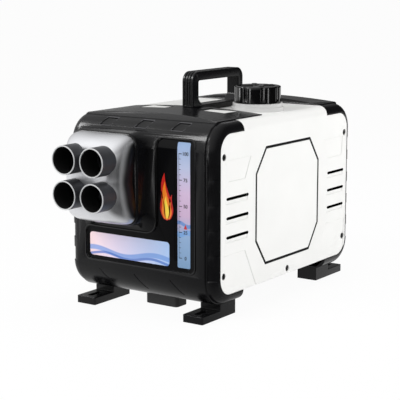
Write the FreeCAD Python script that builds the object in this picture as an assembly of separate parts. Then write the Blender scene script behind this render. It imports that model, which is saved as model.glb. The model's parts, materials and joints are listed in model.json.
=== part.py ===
import FreeCAD, Part
import math
import os

os.makedirs("parts", exist_ok=True)
Vec = FreeCAD.Vector

# Body block: front at -Y, filler side at +X, floor at zero height
body_width = 260.0
body_length = 392.0
body_bottom = 23.0
tank_roof = 262.0
tank_room = 19.0
profile_radius = 40.0
edge_radius = 14.5
inner_bevel_share = 0.7
wall = 3.0
gap = 0.25
run_gap = 0.4
overrun = 6.0
fine = 0.001
hex_sides = 6

body_top = tank_roof + tank_room
half_width = body_width / 2
half_length = body_length / 2
panel_half = half_length - edge_radius
panel_bottom = body_bottom + edge_radius
panel_top = body_top - edge_radius
panel_radius = profile_radius - edge_radius
inner_side = half_width - wall
inner_top = body_top - wall
side_reach = half_width + overrun

# Front and rear covers: hooks over the side edges, raised faces and crowned tops
hook_front = 122.0
hook_rear = 116.0
face_band = 15.0
face_rise = 2.0
face_edge = 1.2
front_crown_rise = 6.5
front_crown_radius = 1325.0
rear_crown_rise = 9.0
rear_crown_radius = 900.0
flange_back = 52.0
brow_front = 172.0
brow_back = 150.0
brow_step = 1.0
brow_headroom = 2.0
face_half_width = half_width - face_band
front_crown_top = body_top + front_crown_rise
rear_crown_top = body_top + rear_crown_rise
face_front = half_length + face_rise
face_bottom = body_bottom - face_rise
face_top = body_top + face_rise
face_radius = profile_radius + face_rise

# Top windows of the front flange and the bare marks on its front curve
window_near = 30.0
window_length = 47.0
window_front = 93.0
window_depth = 35.0
window_radius = 2.0
window_tab_rise = 4.0
mark_pitch = 64.0
mark_width = 20.0
mark_skew = 7.0
mark_drop = 12.5
mark_height = 9.5
mark_low = body_top - mark_drop
mark_high = mark_low + mark_height
mark_depth = 0.9
mark_count = 3

# Slanted lines on the lower front curve
crease_places = [-74.0, -11.0, 53.0]
crease_slant = 19.0
crease_high = 56.5
crease_low = 35.0
crease_width = 2.0
crease_depth = 0.7

# Recess for the label and the fuel gauge
recess_depth = 2.5
recess_margin = 33.0
recess_low = 70.0
recess_drop = 24.0
label_band_high = 119.0
column_width = 65.0
recess_radius = 9.0
recess_bend = 22.0
recess_half = half_width - recess_margin
recess_high = body_top - recess_drop
column_left = recess_half - column_width

# Stack of shallow pockets down each cover's side bands
pocket_count = 5
pocket_pitch = 35.5
pocket_height = 21.0
pocket_low = 62.0
pocket_depth = 1.2
pocket_margin = 2.5
pocket_reach = 12.0

# Outlet: collar of the front cover, hood and four pipes
outlet_inset = 85.0
outlet_x = outlet_inset - half_width
outlet_z = 202.0
collar_z = 197.5
collar_width = 121.0
collar_height = 133.0
collar_radius = 19.0
collar_reach = 25.0
collar_edge = 3.0
hood_depth = 33.0
hood_margin = 2.0
hood_radius = 25.0
hood_depth_shares = [0.0, 0.4, 0.72, 0.92, 1.0]
hood_insets = [0.0, 1.5, 4.5, 10.0, 20.0]
hood_wall = 3.0
pipe_radius = 21.0
pipe_wall = 2.0
pipe_spacing = 50.0
pipe_length = 38.0
pipe_step = 0.4
pipe_end = 279.0
hood_back = half_length + collar_reach
hood_front = hood_back + hood_depth
pipe_tail = pipe_radius - pipe_step

# Side shells: octagon trim, louvres, relief fields and screws
octagon_half = 91.4
octagon_half_flat = 63.8
octagon_low = 63.2
octagon_low_flat = 101.8
octagon_high_flat = 201.1
octagon_high = 238.4
trim_width = 4.0
trim_depth = 0.8
trim_sink = 0.1
trim_gap = 0.1
louvre_height = 4.4
louvre_low = 119.8
louvre_pitch = 27.5
louvre_count = 3
louvre_front = 166.0
louvre_front_length = 56.0
louvre_rear = 121.0
louvre_rear_length = 51.0
louvre_end_share = 0.4
step_height = 5.0
step_lead = 3.0
step_depth = 0.7
field_depth = 0.6
field_outer = 168.0
field_high = 229.0
field_high_near = 104.0
field_low = 199.0
field_low_near = 119.0
field_low_outer = 164.0
skirt_outer = 176.0
skirt_high = 95.0
skirt_near = 119.0
skirt_foot = 85.0
screw_radius = 2.0
screw_head_radius = 4.7
screw_head_height = 1.6
screw_sink = 0.5
screw_length = 14.0
screw_recess_gap = 0.2
screw_y = 173.0
screw_drop = 46.5
screw_low = 66.0
screw_mid = 45.5
post_radius = 5.0
post_length = 14.0
rib_width = 4.0
top_lap = 10.0
screw_high = body_top - screw_drop

# Base plate and feet
base_level = 38.0
base_thick = 3.0
base_front = 160.0
base_rear = 154.0
base_flange_height = 16.0
base_flange_front = 117.0
base_flange_rear = 111.0
foot_inset = 16.5
foot_width = 34.0
foot_near = 118.0
foot_far = 157.0
foot_tip = 202.0
foot_tab = 11.0
foot_slot_length = 28.0
foot_slot_width = 9.0
foot_slot_y = 180.0
foot_corner = 2.0
foot_screw_y = 137.5
foot_screw_radius = 2.5
foot_head_radius = 5.0
foot_head_height = 4.0
foot_head_sink = 3.0
foot_screw_rise = 4.0
standoff_radius = 6.0
middle_half = 29.0
middle_near = 117.0
middle_far = 145.0
middle_radius = 6.0
base_top = base_level + base_thick
foot_outer = half_width - foot_inset
foot_inner = foot_outer - foot_width
foot_x = (foot_inner + foot_outer) / 2

# Carry handle
handle_width = 21.0
handle_front = 76.0
handle_rear = 60.0
handle_rise = 59.5
handle_leg = 14.0
handle_bar = 13.5
handle_floor_rise = 9.5
handle_radius = 15.0
handle_inner_radius = 3.0
handle_edge = 1.5
handle_gusset = 9.0
handle_seat = 0.05
groove_count = 3
groove_pitch = 4.6
groove_width = 1.8
groove_depth = 1.4
handle_screw_radius = 2.4
handle_screw_reach = 14.0
handle_head_radius = 4.5
handle_head_height = 3.0
handle_screw_places = [-handle_front + handle_leg / 2, handle_rear - handle_leg / 2]
handle_top = body_top + handle_rise
handle_floor = body_top + handle_floor_rise
above = handle_top

# Fuel tank, filler neck, boss and cap
tank_left = 14.0
tank_margin = 22.0
tank_front = 187.0
tank_rear = 84.0
tank_floor = 62.0
tank_radius = 28.0
tank_edge = 6.0
tank_wall = 2.5
neck_inset = 60.0
neck_y = 8.0
neck_radius = 27.0
neck_bore = 23.0
neck_rise = 15.5
boss_radius = 39.5
boss_step_radius = 37.5
boss_step_rise = 5.5
boss_rise = 11.5
cap_radius = 35.0
cap_height = 25.0
cap_wall = 2.5
cap_edge = 2.0
flute_count = 8
flute_radius = 3.0
flute_sink = 1.2
rib_count = 4
cap_rib_width = 7.0
cap_rib_length = 17.0
cap_rib_height = 1.6
cap_rib_start = 8.0
gasket_thick = 2.0
cradle_wall = 3.7
cradle_floor = 3.0
cradle_front = 150.0
cradle_rear = 60.0
cradle_lip = 13.0
outlet_nipple_y = 140.0
outlet_nipple_z = 78.0
nipple_radius = 3.2
nipple_length = 8.0
tank_right = half_width - tank_margin
neck_x = half_width - neck_inset
boss_step = body_top + boss_step_rise
boss_top = body_top + boss_rise
neck_top = boss_top + neck_rise

# Fuel gauge, label and sticker
gauge_inset = 35.7
gauge_width = 5.1
gauge_low = 84.0
gauge_drop = 13.0
gauge_radius = 2.0
gauge_thick = 2.0
gauge_sink = 0.3
scale_offset = 5.7
scale_width = 21.6
scale_low = 76.0
scale_drop = 3.0
scale_radius = 2.0
sheet = 0.4
label_margin = 5.4
label_gap = 8.8
label_low = 75.4
label_high = 110.0
label_radius = 5.0
flame_offset = 13.8
flame_low = 141.0
flame_high = 209.5
flame_width = 22.0
flame_belly_share = 0.3
gauge_left = recess_half - gauge_inset
gauge_high = recess_high - gauge_drop
scale_left = gauge_left + scale_offset
scale_high = recess_high - scale_drop
label_left = label_margin - recess_half
label_right = gauge_left - label_gap
flame_x = gauge_left - flame_offset

# Heater: case, exchanger, burner, blower
case_radius = 56.0
case_wall = 2.5
case_front = 162.0
case_rear = 168.0
case_inner = case_radius - case_wall
core_radius = 36.0
core_wall = 3.0
core_front = 140.0
core_rear = 46.0
fin_count = 20
fin_thick = 2.0
fin_front = 135.0
fin_rear = 20.0
fin_gap = 0.3
chamber_radius = 27.0
chamber_wall = 2.0
chamber_front = 45.0
chamber_rear = 40.0
chamber_flange = 4.0
port_radius = 12.0
port_wall = 1.5
port_step = 0.4
port_boss = 14.0
port_boss_low = 151.5
port_end = 12.0
exhaust_y = -20.0
intake_y = 63.0
port_gap = 1.0
plug_y = 30.0
plug_radius = 4.5
plug_low = 230.0
plug_high = 250.0
plug_head_radius = 7.0
plug_head_low = 238.3
plug_head_high = 244.0
sensor_width = 8.0
sensor_length = 14.0
sensor_height = 5.0
sensor_y = -60.0
blower_radius = 46.0
blower_wall = 3.0
blower_front = 46.5
blower_rear = 80.0
blower_tab = 8.0
blower_tab_count = 3
motor_radius = 30.0
motor_rear = 128.0
shaft_radius = 3.0
shaft_gap = 0.05
shaft_front = 50.0
shaft_rear = 160.0
impeller_radius = 40.0
impeller_front = 54.0
impeller_rear = 72.0
impeller_plate = 2.0
impeller_hub = 8.0
impeller_vanes = 12
vane_thick = 1.6
vane_start = 16.0
fan_radius = 50.0
fan_front = 136.0
fan_rear = 156.0
fan_hub = 14.0
fan_blades = 7
blade_thick = 2.0
blade_pitch_deg = 38.0
unit_half = 25.0
unit_low = 236.0
unit_front = 86.0
unit_rear = 126.0
unit_fit = 0.25
gasket_margin = 10.0
saddle_thick = 6.0
saddle_places = [-118.0, 92.0]
saddle_half = 32.0
saddle_top = 165.0
saddle_foot = 18.0
saddle_foot_thick = 3.0

# Fuel pump, filter and hoses
pump_inset = 45.0
pump_x = pump_inset - half_width
pump_z = 78.0
pump_radius = 12.0
pump_front = -30.0
pump_rear = 50.0
clamp_wall = 2.5
clamp_y = 2.0
clamp_width = 16.0
filter_radius = 10.0
filter_front = -84.0
filter_rear = -54.0
hose_radius = 3.2
hose_bend = 18.0
hose_rise_y = 86.0
hose_port_z = 156.0
hose_port_length = 14.0

# Control panel of the left side
display_y = 13.0
panel_z = 151.0
bezel_half_y = 52.0
bezel_half_z = 31.0
bezel_radius = 8.0
bezel_rise = 1.5
sleeve_margin = 6.0
sleeve_wall = 2.0
sleeve_depth = 16.0
ledge = 1.4
display_half_y = 27.0
display_half_z = 18.0
display_radius = 2.0
display_lip = 2.0
display_thick = 1.5
button_radius = 5.0
button_rise = 1.2
button_y = [-22.5, -36.5]
button_z_offset = 9.0
button_flange = 1.2
button_flange_thick = 1.2
button_travel = 1.5
button_stem = 2.0
board_thick = 1.6
board_inset = 2.0

# Rear: air intake grille and cable gland
grille_radius = 48.0
grille_rim = 5.0
grille_thick = 3.0
grille_rings = [12.0, 22.0, 32.0]
grille_bar = 2.4
grille_spokes = 6
gland_inset = 60.0
gland_x = half_width - gland_inset
gland_z = 82.0
gland_radius = 9.0
gland_bore = 4.5
gland_nut_radius = 13.0
gland_nut_thick = 4.0
gland_reach = 12.0
gland_body = 7.5
gland_tail = 10.0


def place(axis, u, v, along):
    """Point with u and v across the axis and along on it."""
    if axis == "x":
        return Vec(along, u, v)
    if axis == "y":
        return Vec(u, along, v)
    return Vec(u, v, along)


def corners(u_low, u_high, v_low, v_high):
    return [(u_low, v_low), (u_high, v_low), (u_high, v_high), (u_low, v_high)]


def outline(axis, points, radius, along):
    """Closed wire through points, across the axis, with each corner rounded by its radius."""
    spots = [place(axis, u, v, along) for u, v in points]
    radii = radius if isinstance(radius, list) else [radius] * len(spots)
    entries = []
    exits = []
    arcs = []
    for index, spot in enumerate(spots):
        back = (spots[index - 1] - spot).normalize()
        ahead = (spots[(index + 1) % len(spots)] - spot).normalize()
        half_angle = back.getAngle(ahead) / 2
        reach = radii[index] / math.tan(half_angle)
        entries.append(spot + back * reach)
        exits.append(spot + ahead * reach)
        depth = radii[index] / math.sin(half_angle) - radii[index]
        arcs.append(spot + (back + ahead).normalize() * depth)
    edges = []
    for index, middle in enumerate(arcs):
        if radii[index] > 0:
            edges.append(Part.Arc(entries[index], middle, exits[index]).toShape())
        following = entries[(index + 1) % len(entries)]
        if exits[index].distanceToPoint(following) > fine:
            edges.append(Part.LineSegment(exits[index], following).toShape())
    return Part.Wire(edges)


def prism(axis, points, radius, start, end):
    face = Part.Face(outline(axis, points, radius, start))
    return face.extrude(place(axis, 0, 0, end - start))


def block(x_low, x_high, y_low, y_high, z_low, z_high):
    return Part.makeBox(x_high - x_low, y_high - y_low, z_high - z_low, Vec(x_low, y_low, z_low))


def rod(axis, radius, u, v, start, end):
    return Part.makeCylinder(radius, end - start, place(axis, u, v, start), place(axis, 0, 0, 1))


def many_sided(axis, radius, u, v, start, end):
    """Bar with flat sides whose corners lie on a circle."""
    angles = [index * 2 * math.pi / hex_sides for index in range(hex_sides)]
    points = [(u + radius * math.cos(angle), v + radius * math.sin(angle)) for angle in angles]
    return prism(axis, points, 0, start, end)


def clipped(u_low, u_high, v_low, v_high, clip):
    """Rectangle with its corners cut off."""
    return [
        (u_low + clip, v_low), (u_high - clip, v_low), (u_high, v_low + clip), (u_high, v_high - clip),
        (u_high - clip, v_high), (u_low + clip, v_high), (u_low, v_high - clip), (u_low, v_low + clip),
    ]


def tube(axis, outer, inner, u, v, start, end):
    return rod(axis, outer, u, v, start, end).cut(rod(axis, inner, u, v, start, end))


def mirror_x(shape):
    return shape.mirror(Vec(0, 0, 0), Vec(1, 0, 0))


def mirror_y(shape):
    return shape.mirror(Vec(0, 0, 0), Vec(0, 1, 0))


def joined(shapes):
    return shapes[0].fuse(shapes[1:]).removeSplitter()


def turned(shape, axis, u, v, degrees):
    copy = shape.copy()
    copy.rotate(place(axis, u, v, 0), place(axis, 0, 0, 1), degrees)
    return copy


def save(name, shape):
    shape.exportStep("parts/" + name + ".step")


# Body block moved in by an inset, with its side edges rounded or bevelled
def square_block(inset):
    points = corners(-half_length + inset, half_length - inset, body_bottom + inset, body_top - inset)
    return prism("x", points, profile_radius - inset, -half_width + inset, half_width - inset)


def side_rims(solid):
    return [edge for edge in solid.Edges if edge.BoundBox.XLength < fine]


def envelope(inset):
    solid = square_block(inset)
    return solid.makeFillet(edge_radius - inset, side_rims(solid))


def hollow_block(inset):
    solid = square_block(inset)
    return solid.makeChamfer(inner_bevel_share * edge_radius, side_rims(solid))


outer_block = envelope(0)
inner_block = hollow_block(wall)
body_skin = outer_block.cut(inner_block)


# Profile of the raised faces moved in by an inset, wide enough to trim a cut to a skin
def face_block(inset, half):
    points = corners(-face_front + inset, face_front - inset, face_bottom + inset, face_top - inset)
    return prism("x", points, face_radius - inset, -half, half)


def skin_cut(tool, depth):
    """Part of a cutting tool that lies outside the raised face moved in by depth."""
    return tool.cut(face_block(depth, half_width))


def front_tool(points, radius, depth):
    return skin_cut(prism("y", points, radius, -face_front - overrun, -brow_back), depth)


def crown(top, radius):
    return Part.makeCylinder(radius, 2 * body_length, Vec(0, -body_length, top - radius), Vec(0, 1, 0))


raised_face = face_block(0, face_half_width)
raised_face = raised_face.makeChamfer(face_edge, side_rims(raised_face))
side_tools = [
    prism("x", corners(-panel_half, panel_half, panel_bottom, panel_top), panel_radius, start, end)
    for start, end in ((half_width - edge_radius, half_width + overrun),
                       (-half_width - overrun, -half_width + edge_radius))
]
pocket_skin = outer_block.cut(envelope(pocket_depth))


def pockets(face_y_low, face_y_high):
    """Shallow pockets down both side bands between two depths of the body."""
    result = []
    near = face_half_width + pocket_margin
    for row in range(pocket_count):
        low = pocket_low + row * pocket_pitch
        right = block(near, half_width, face_y_low, face_y_high, low, low + pocket_height)
        result.append(pocket_skin.common(right))
        result.append(pocket_skin.common(mirror_x(right)))
    return result


post_limit = hollow_block(wall / 2)


def screw_posts(side):
    """Screw posts for the side shells in one cover, each on a rib from the cover's wall."""
    result = []
    tip = inner_side - gap
    for height in (screw_low, screw_high):
        post = many_sided("x", post_radius, side * screw_y, height, tip - post_length, tip)
        edge = sorted((side * screw_y, side * half_length))
        rib = block(tip - post_length, tip, edge[0], edge[1], height - rib_width / 2, height + rib_width / 2)
        whole = post.fuse(rib).common(post_limit)
        whole = whole.cut(many_sided("x", screw_radius + gap, side * screw_y, height, 0, half_width))
        result.extend([whole, mirror_x(whole)])
    return result


def standoffs(side):
    low = body_bottom + wall / 2
    return [
        many_sided("z", standoff_radius, x, side * foot_screw_y, low, base_level)
        for x in (foot_x, -foot_x)
    ]


def foot_screw_holes(side):
    return [
        many_sided("z", foot_screw_radius + gap, x, side * foot_screw_y, 0, base_top + overrun)
        for x in (foot_x, -foot_x)
    ]


def face_height(y):
    """Height of the raised face where its upper curve has come back to a depth."""
    return face_top - face_radius + math.sqrt(face_radius ** 2 - (y - face_front + face_radius) ** 2)


brow_low = face_height(brow_front)


# Front cover: cup, raised face, crowned brow with its flange, and the outlet collar
def front_cover():
    zone = block(-side_reach, side_reach, -face_front - overrun, -hook_front, 0, above)
    cup = outer_block.common(zone)
    face = raised_face.common(zone)
    brow_points = [
        (-brow_front, brow_low - face_rise),
        (-brow_front, brow_low + brow_step),
        (-brow_back, front_crown_top + brow_headroom),
        (-flange_back, front_crown_top + brow_headroom),
        (-flange_back, body_top),
        (-hook_front, body_top),
        (-brow_back, body_top - wall),
    ]
    brow = prism("x", brow_points, 0, -face_half_width, face_half_width)
    crown_block = crown(front_crown_top, front_crown_radius)
    collar_points = corners(outlet_x - collar_width / 2, outlet_x + collar_width / 2,
                            collar_z - collar_height / 2, collar_z + collar_height / 2)
    collar = prism("y", collar_points, collar_radius, -hood_back, -half_length + profile_radius)
    front_edges = [edge for edge in collar.Edges if edge.BoundBox.YMax < -hood_back + fine]
    collar = collar.makeChamfer(collar_edge, front_edges)
    body = cup.fuse([face, brow]).common(crown_block).fuse(collar)
    body = body.cut(inner_block).cut(side_tools)
    body = body.fuse(screw_posts(-1) + standoffs(-1))
    recess_points = [
        (-recess_half, recess_low), (recess_half, recess_low), (recess_half, recess_high),
        (column_left, recess_high), (column_left, label_band_high), (-recess_half, label_band_high),
    ]
    recess_radii = [recess_radius, recess_radius, recess_radius, recess_radius, recess_bend, recess_radius]
    tools = [front_tool(recess_points, recess_radii, recess_depth)]
    for index in range(mark_count):
        middle = (index - (mark_count - 1) / 2) * mark_pitch
        mark = [
            (middle - mark_width / 2 - mark_skew / 2, mark_low),
            (middle + mark_width / 2 - mark_skew / 2, mark_low),
            (middle + mark_width / 2 + mark_skew / 2, mark_high),
            (middle - mark_width / 2 + mark_skew / 2, mark_high),
        ]
        tools.append(front_tool(mark, 0, mark_depth))
    for x in crease_places:
        crease = [
            (x, crease_high), (x + crease_slant, crease_low),
            (x + crease_slant + crease_width, crease_low), (x + crease_width, crease_high),
        ]
        tools.append(front_tool(crease, 0, crease_depth))
    tools.extend(pockets(-half_length, -half_length + pocket_reach))
    gauge_points = corners(gauge_left, gauge_left + gauge_width, gauge_low, gauge_high)
    tools.append(prism("y", gauge_points, gauge_radius, -face_front - overrun, -half_length + profile_radius))
    tools.append(rod("y", case_inner, outlet_x, outlet_z, -hood_back - overrun, -hook_front))
    window = prism("z", window_points(0), window_radius, body_top - fine, above)
    tools.extend([window, mirror_x(window)])
    tools.extend(foot_screw_holes(-1))
    tools.append(handle_screw_hole(handle_screw_places[0]))
    return body.cut(tools)


def window_points(margin):
    """Outline of one top window moved in by a margin."""
    return corners(window_near + margin, window_near + window_length - margin,
                   -window_front + margin, -window_front + window_depth - margin)


def handle_screw_hole(y):
    return many_sided("z", handle_screw_radius + gap, 0, y, inner_top - overrun, above)


# Rear cover: cup with a raised face and a crowned top, an air intake and a cable hole
def rear_cover():
    zone = block(-side_reach, side_reach, hook_rear, face_front + overrun, 0, above)
    cup = outer_block.common(zone)
    face = raised_face.common(zone)
    brow_points = [
        (brow_front, brow_low - face_rise),
        (brow_front, brow_low + brow_step),
        (brow_back, rear_crown_top + brow_headroom),
        (hook_rear, rear_crown_top + brow_headroom),
        (hook_rear, body_top - wall),
    ]
    brow = prism("x", brow_points, 0, -face_half_width, face_half_width)
    body = cup.fuse([face, brow]).common(crown(rear_crown_top, rear_crown_radius))
    body = body.cut(inner_block).cut(side_tools)
    body = body.fuse(screw_posts(1) + standoffs(1))
    tools = pockets(half_length - pocket_reach, half_length)
    air_hole = grille_radius - grille_rim
    start = half_length - profile_radius
    end = face_front + overrun
    tools.append(rod("y", air_hole, outlet_x, outlet_z, start, end))
    tools.append(rod("y", grille_radius + gap, outlet_x, outlet_z, face_front - grille_thick, end))
    tools.append(rod("y", gland_body + gap, gland_x, gland_z, start, end))
    tools.extend(foot_screw_holes(1))
    return body.cut(tools)


# Side shells: outer plate with louvres, relief and trim groove, and half of the top
def octagon_ring(margin, x_low, x_high):
    points = [
        (-octagon_half_flat, octagon_low), (octagon_half_flat, octagon_low),
        (octagon_half, octagon_low_flat), (octagon_half, octagon_high_flat),
        (octagon_half_flat, octagon_high), (-octagon_half_flat, octagon_high),
        (-octagon_half, octagon_high_flat), (-octagon_half, octagon_low_flat),
    ]
    wire = outline("x", points, 0, x_low)
    outer = Part.Face(wire.makeOffset2D(-margin, 2)) if margin > 0 else Part.Face(wire)
    inner = Part.Face(wire.makeOffset2D(-trim_width + margin, 2))
    return outer.cut(inner).extrude(Vec(x_high - x_low, 0, 0))


def side_screw_places():
    places = [(side * screw_y, height) for side in (-1, 1) for height in (screw_low, screw_high)]
    return places + [(0, screw_mid)]


def side_shell():
    plate_points = corners(-panel_half + gap, panel_half - gap, panel_bottom + gap, panel_top - gap)
    plate = prism("x", plate_points, panel_radius - gap, inner_side, half_width)
    zone = block(gap / 2, side_reach, -hook_front + gap, hook_rear - gap, panel_top - top_lap, above)
    tab = prism("z", window_points(gap), window_radius - gap, inner_top, body_top + window_tab_rise)
    shell = plate.fuse([body_skin.common(zone), tab])
    face = half_width + overrun
    tools = [octagon_ring(0, half_width - trim_depth, face)]
    for row in range(louvre_count):
        low = louvre_low - louvre_height / 2 + row * louvre_pitch
        for start, length in ((-louvre_front, louvre_front_length), (louvre_rear, louvre_rear_length)):
            ends = louvre_height * louvre_end_share
            slot = clipped(start, start + length, low, low + louvre_height, ends)
            tools.append(prism("x", slot, 0, inner_side - overrun, face))
            step = corners(start - step_lead, start + length - step_lead, low - step_height,
                           low + louvre_height)
            tools.append(prism("x", step, 0, half_width - step_depth, face))
    for side in (-1, 1):
        upper = [
            (side * field_outer, field_high), (side * field_high_near, field_high),
            (side * field_low_near, field_low), (side * field_low_outer, field_low),
        ]
        lower = [
            (side * skirt_outer, skirt_high), (side * skirt_near, skirt_high),
            (side * skirt_foot, panel_bottom - overrun), (side * skirt_outer, panel_bottom - overrun),
        ]
        for field in (upper, lower):
            tools.append(prism("x", field, 0, half_width - field_depth, face))
    for y, z in side_screw_places():
        recess = screw_head_radius + screw_recess_gap
        floor = half_width - screw_sink - screw_head_height
        tools.append(rod("x", recess, y, z, floor, face))
        tools.append(many_sided("x", screw_radius + gap, y, z, inner_side - overrun, face))
    tools.extend([handle_screw_hole(y) for y in handle_screw_places])
    return shell.cut(tools)


def right_shell(plain):
    boss = rod("z", boss_radius, neck_x, neck_y, inner_top, boss_step)
    step = rod("z", boss_step_radius, neck_x, neck_y, inner_top, boss_top)
    bore = rod("z", neck_radius + gap, neck_x, neck_y, inner_top - overrun, above)
    return joined([plain, boss, step]).cut(bore)


def left_shell(plain):
    half_y = bezel_half_y - sleeve_margin + gap
    half_z = bezel_half_z - sleeve_margin + gap
    points = corners(-half_y, half_y, panel_z - half_z, panel_z + half_z)
    radius = bezel_radius - sleeve_margin + gap
    return mirror_x(plain).cut(prism("x", points, radius, -side_reach, -inner_side + overrun))


def side_screws():
    screws = []
    for y, z in side_screw_places():
        top = half_width - screw_sink
        head = rod("x", screw_head_radius, y, z, top - screw_head_height, top)
        shank = many_sided("x", screw_radius, y, z, top - screw_length, top - screw_head_height)
        slot = block(top - screw_head_height / 2, top, y - screw_radius, y + screw_radius,
                     z - screw_radius / 4, z + screw_radius / 4)
        screw = head.fuse(shank).cut(slot)
        screws.extend([screw, mirror_x(screw)])
    return Part.makeCompound(screws)


# Base plate with upturned sides, and the feet under the covers
def base_plate():
    side = inner_side - gap
    floor = block(-side, side, -base_front, base_rear, base_level, base_top)
    flange = block(side - base_thick, side, -base_flange_front, base_flange_rear, base_level,
                   base_top + base_flange_height)
    tools = foot_screw_holes(-1) + foot_screw_holes(1)
    for y in (exhaust_y, intake_y):
        tools.append(rod("z", port_radius + gap, outlet_x, y, 0, base_top + overrun))
    screw = many_sided("x", screw_radius + gap, 0, screw_mid, 0, half_width)
    tools.extend([screw, mirror_x(screw)])
    return joined([floor, flange, mirror_x(flange)]).cut(tools)


def foot():
    """Front right foot: a block under the cover and a slotted tab for a floor bolt."""
    profile = [
        (-foot_tip, 0), (-foot_near, 0), (-foot_near, face_bottom),
        (-foot_far, face_bottom), (-foot_far, foot_tab), (-foot_tip, foot_tab),
    ]
    body = prism("x", profile, 0, foot_inner, foot_outer)
    slot = corners(foot_x - foot_slot_width / 2, foot_x + foot_slot_width / 2,
                   -foot_slot_y - foot_slot_length / 2, -foot_slot_y + foot_slot_length / 2)
    tools = [prism("z", slot, foot_slot_width / 2 - fine, -overrun, foot_tab + overrun)]
    tools.append(many_sided("z", foot_screw_radius + gap, foot_x, -foot_screw_y, 0, above))
    head_top = foot_head_sink + foot_head_height
    tools.append(rod("z", foot_head_radius + gap, foot_x, -foot_screw_y, -overrun, head_top))
    upright = [edge for edge in body.Edges
               if edge.BoundBox.ZLength > foot_tab - fine and edge.BoundBox.YMax < -foot_far]
    return body.makeFillet(foot_corner, upright).cut(tools)


def foot_screws():
    screws = []
    for x in (foot_x, -foot_x):
        for y in (-foot_screw_y, foot_screw_y):
            head_top = foot_head_sink + foot_head_height
            head = rod("z", foot_head_radius, x, y, foot_head_sink, head_top)
            shank = many_sided("z", foot_screw_radius, x, y, head_top, base_top + foot_screw_rise)
            screws.append(head.fuse(shank))
    return Part.makeCompound(screws)


def centre_foot():
    points = corners(-middle_half, middle_half, -middle_far, -middle_near)
    body = prism("z", points, middle_radius, 0, face_bottom)
    hollow = middle_radius / 2
    inner = corners(-middle_half + hollow, middle_half - hollow, -middle_far + hollow, -middle_near - hollow)
    return body.cut(prism("z", inner, hollow, hollow, face_bottom - hollow))


# Outlet hood and its four pipes
def hood_points(margin):
    return corners(outlet_x - collar_width / 2 + margin, outlet_x + collar_width / 2 - margin,
                   collar_z - collar_height / 2 + margin, collar_z + collar_height / 2 - margin)


def pillow(inset):
    """Block that narrows in steps towards a rounded front, moved in by an inset."""
    rings = []
    for share, narrowed in zip(hood_depth_shares, hood_insets):
        along = -hood_back - share * (hood_depth - inset)
        points = hood_points(hood_margin + narrowed + inset)
        rings.append(outline("y", points, hood_radius - inset, along))
    return Part.makeLoft(rings, True, True)


pipe_places = [
    (outlet_x + across * pipe_spacing / 2, outlet_z + up * pipe_spacing / 2)
    for across in (-1, 1) for up in (1, -1)
]


def outlet_hood():
    hollow = pillow(hood_wall)
    holes = [rod("y", pipe_tail + gap, x, z, -pipe_end, -hood_back) for x, z in pipe_places]
    return pillow(0).cut([hollow] + holes)


def outlet_pipe(x, z):
    mouth = rod("y", pipe_radius, x, z, -pipe_end, -hood_front - gap)
    tail = rod("y", pipe_tail, x, z, -pipe_end, -pipe_end + pipe_length)
    bore = rod("y", pipe_radius - pipe_wall, x, z, -pipe_end, -pipe_end + pipe_length)
    return joined([mouth, tail]).cut(bore)


# Carry handle: one loop with ribs round its outer face and gussets inside
def carry_handle():
    step = front_crown_top + handle_seat
    seat = body_top + handle_seat
    low = [(-handle_front, step), (-flange_back + gap, step), (-flange_back + gap, seat), (handle_rear, seat)]
    loop = low + [(handle_rear, handle_top), (-handle_front, handle_top)]
    radii = [0, 0, 0, 0, handle_radius, handle_radius]
    body = prism("x", loop, radii, -handle_width / 2, handle_width / 2)
    rims = [edge for edge in body.Edges
            if edge.BoundBox.XLength < fine and edge.BoundBox.ZMax > handle_floor]
    body = body.makeChamfer(handle_edge, rims)
    front = -handle_front + handle_leg
    rear = handle_rear - handle_leg
    top = handle_top - handle_bar
    opening = [
        (front + handle_gusset, handle_floor), (rear - handle_gusset, handle_floor),
        (rear, handle_floor + handle_gusset), (rear, top),
        (front, top), (front, handle_floor + handle_gusset),
    ]
    hole = prism("x", opening, handle_inner_radius, -handle_width, handle_width)
    tools = [hole]
    inner_loop = [
        (-handle_front + groove_depth, body_bottom), (handle_rear - groove_depth, body_bottom),
        (handle_rear - groove_depth, handle_top - groove_depth),
        (-handle_front + groove_depth, handle_top - groove_depth),
    ]
    inner_radius = handle_radius - groove_depth
    for index in range(groove_count):
        x = (index - (groove_count - 1) / 2) * groove_pitch
        band = block(x - groove_width / 2, x + groove_width / 2, -handle_front, handle_rear,
                     handle_floor, handle_top)
        core = prism("x", inner_loop, [0, 0, inner_radius, inner_radius], -handle_width, handle_width)
        tools.append(band.cut(core))
    screw_end = inner_top + handle_screw_reach + gap
    for y in handle_screw_places:
        tools.append(many_sided("z", handle_screw_radius + gap, 0, y, 0, screw_end))
    return body.cut(tools)


def handle_screws():
    screws = []
    for y in handle_screw_places:
        head = rod("z", handle_head_radius, 0, y, inner_top - handle_head_height, inner_top)
        shank = many_sided("z", handle_screw_radius, 0, y, inner_top, inner_top + handle_screw_reach)
        screws.append(head.fuse(shank))
    return Part.makeCompound(screws)


# Fuel tank with its filler neck, the cradle under it, the cap and its gasket
def tank_block(inset):
    points = corners(-tank_front + inset, tank_rear - inset, tank_floor + inset, tank_roof - inset)
    solid = prism("x", points, tank_radius - inset, tank_left + inset, tank_right - inset)
    return solid.makeChamfer(tank_edge, side_rims(solid))


def fuel_tank():
    neck = rod("z", neck_radius, neck_x, neck_y, tank_roof - tank_wall, neck_top)
    nipple = rod("x", nipple_radius, -outlet_nipple_y, outlet_nipple_z, tank_left - nipple_length,
                 tank_left + tank_wall)
    body = joined([tank_block(0), neck, nipple])
    bore = rod("z", neck_bore, neck_x, neck_y, tank_roof - 2 * tank_wall, above)
    return body.cut([tank_block(tank_wall), bore])


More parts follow.
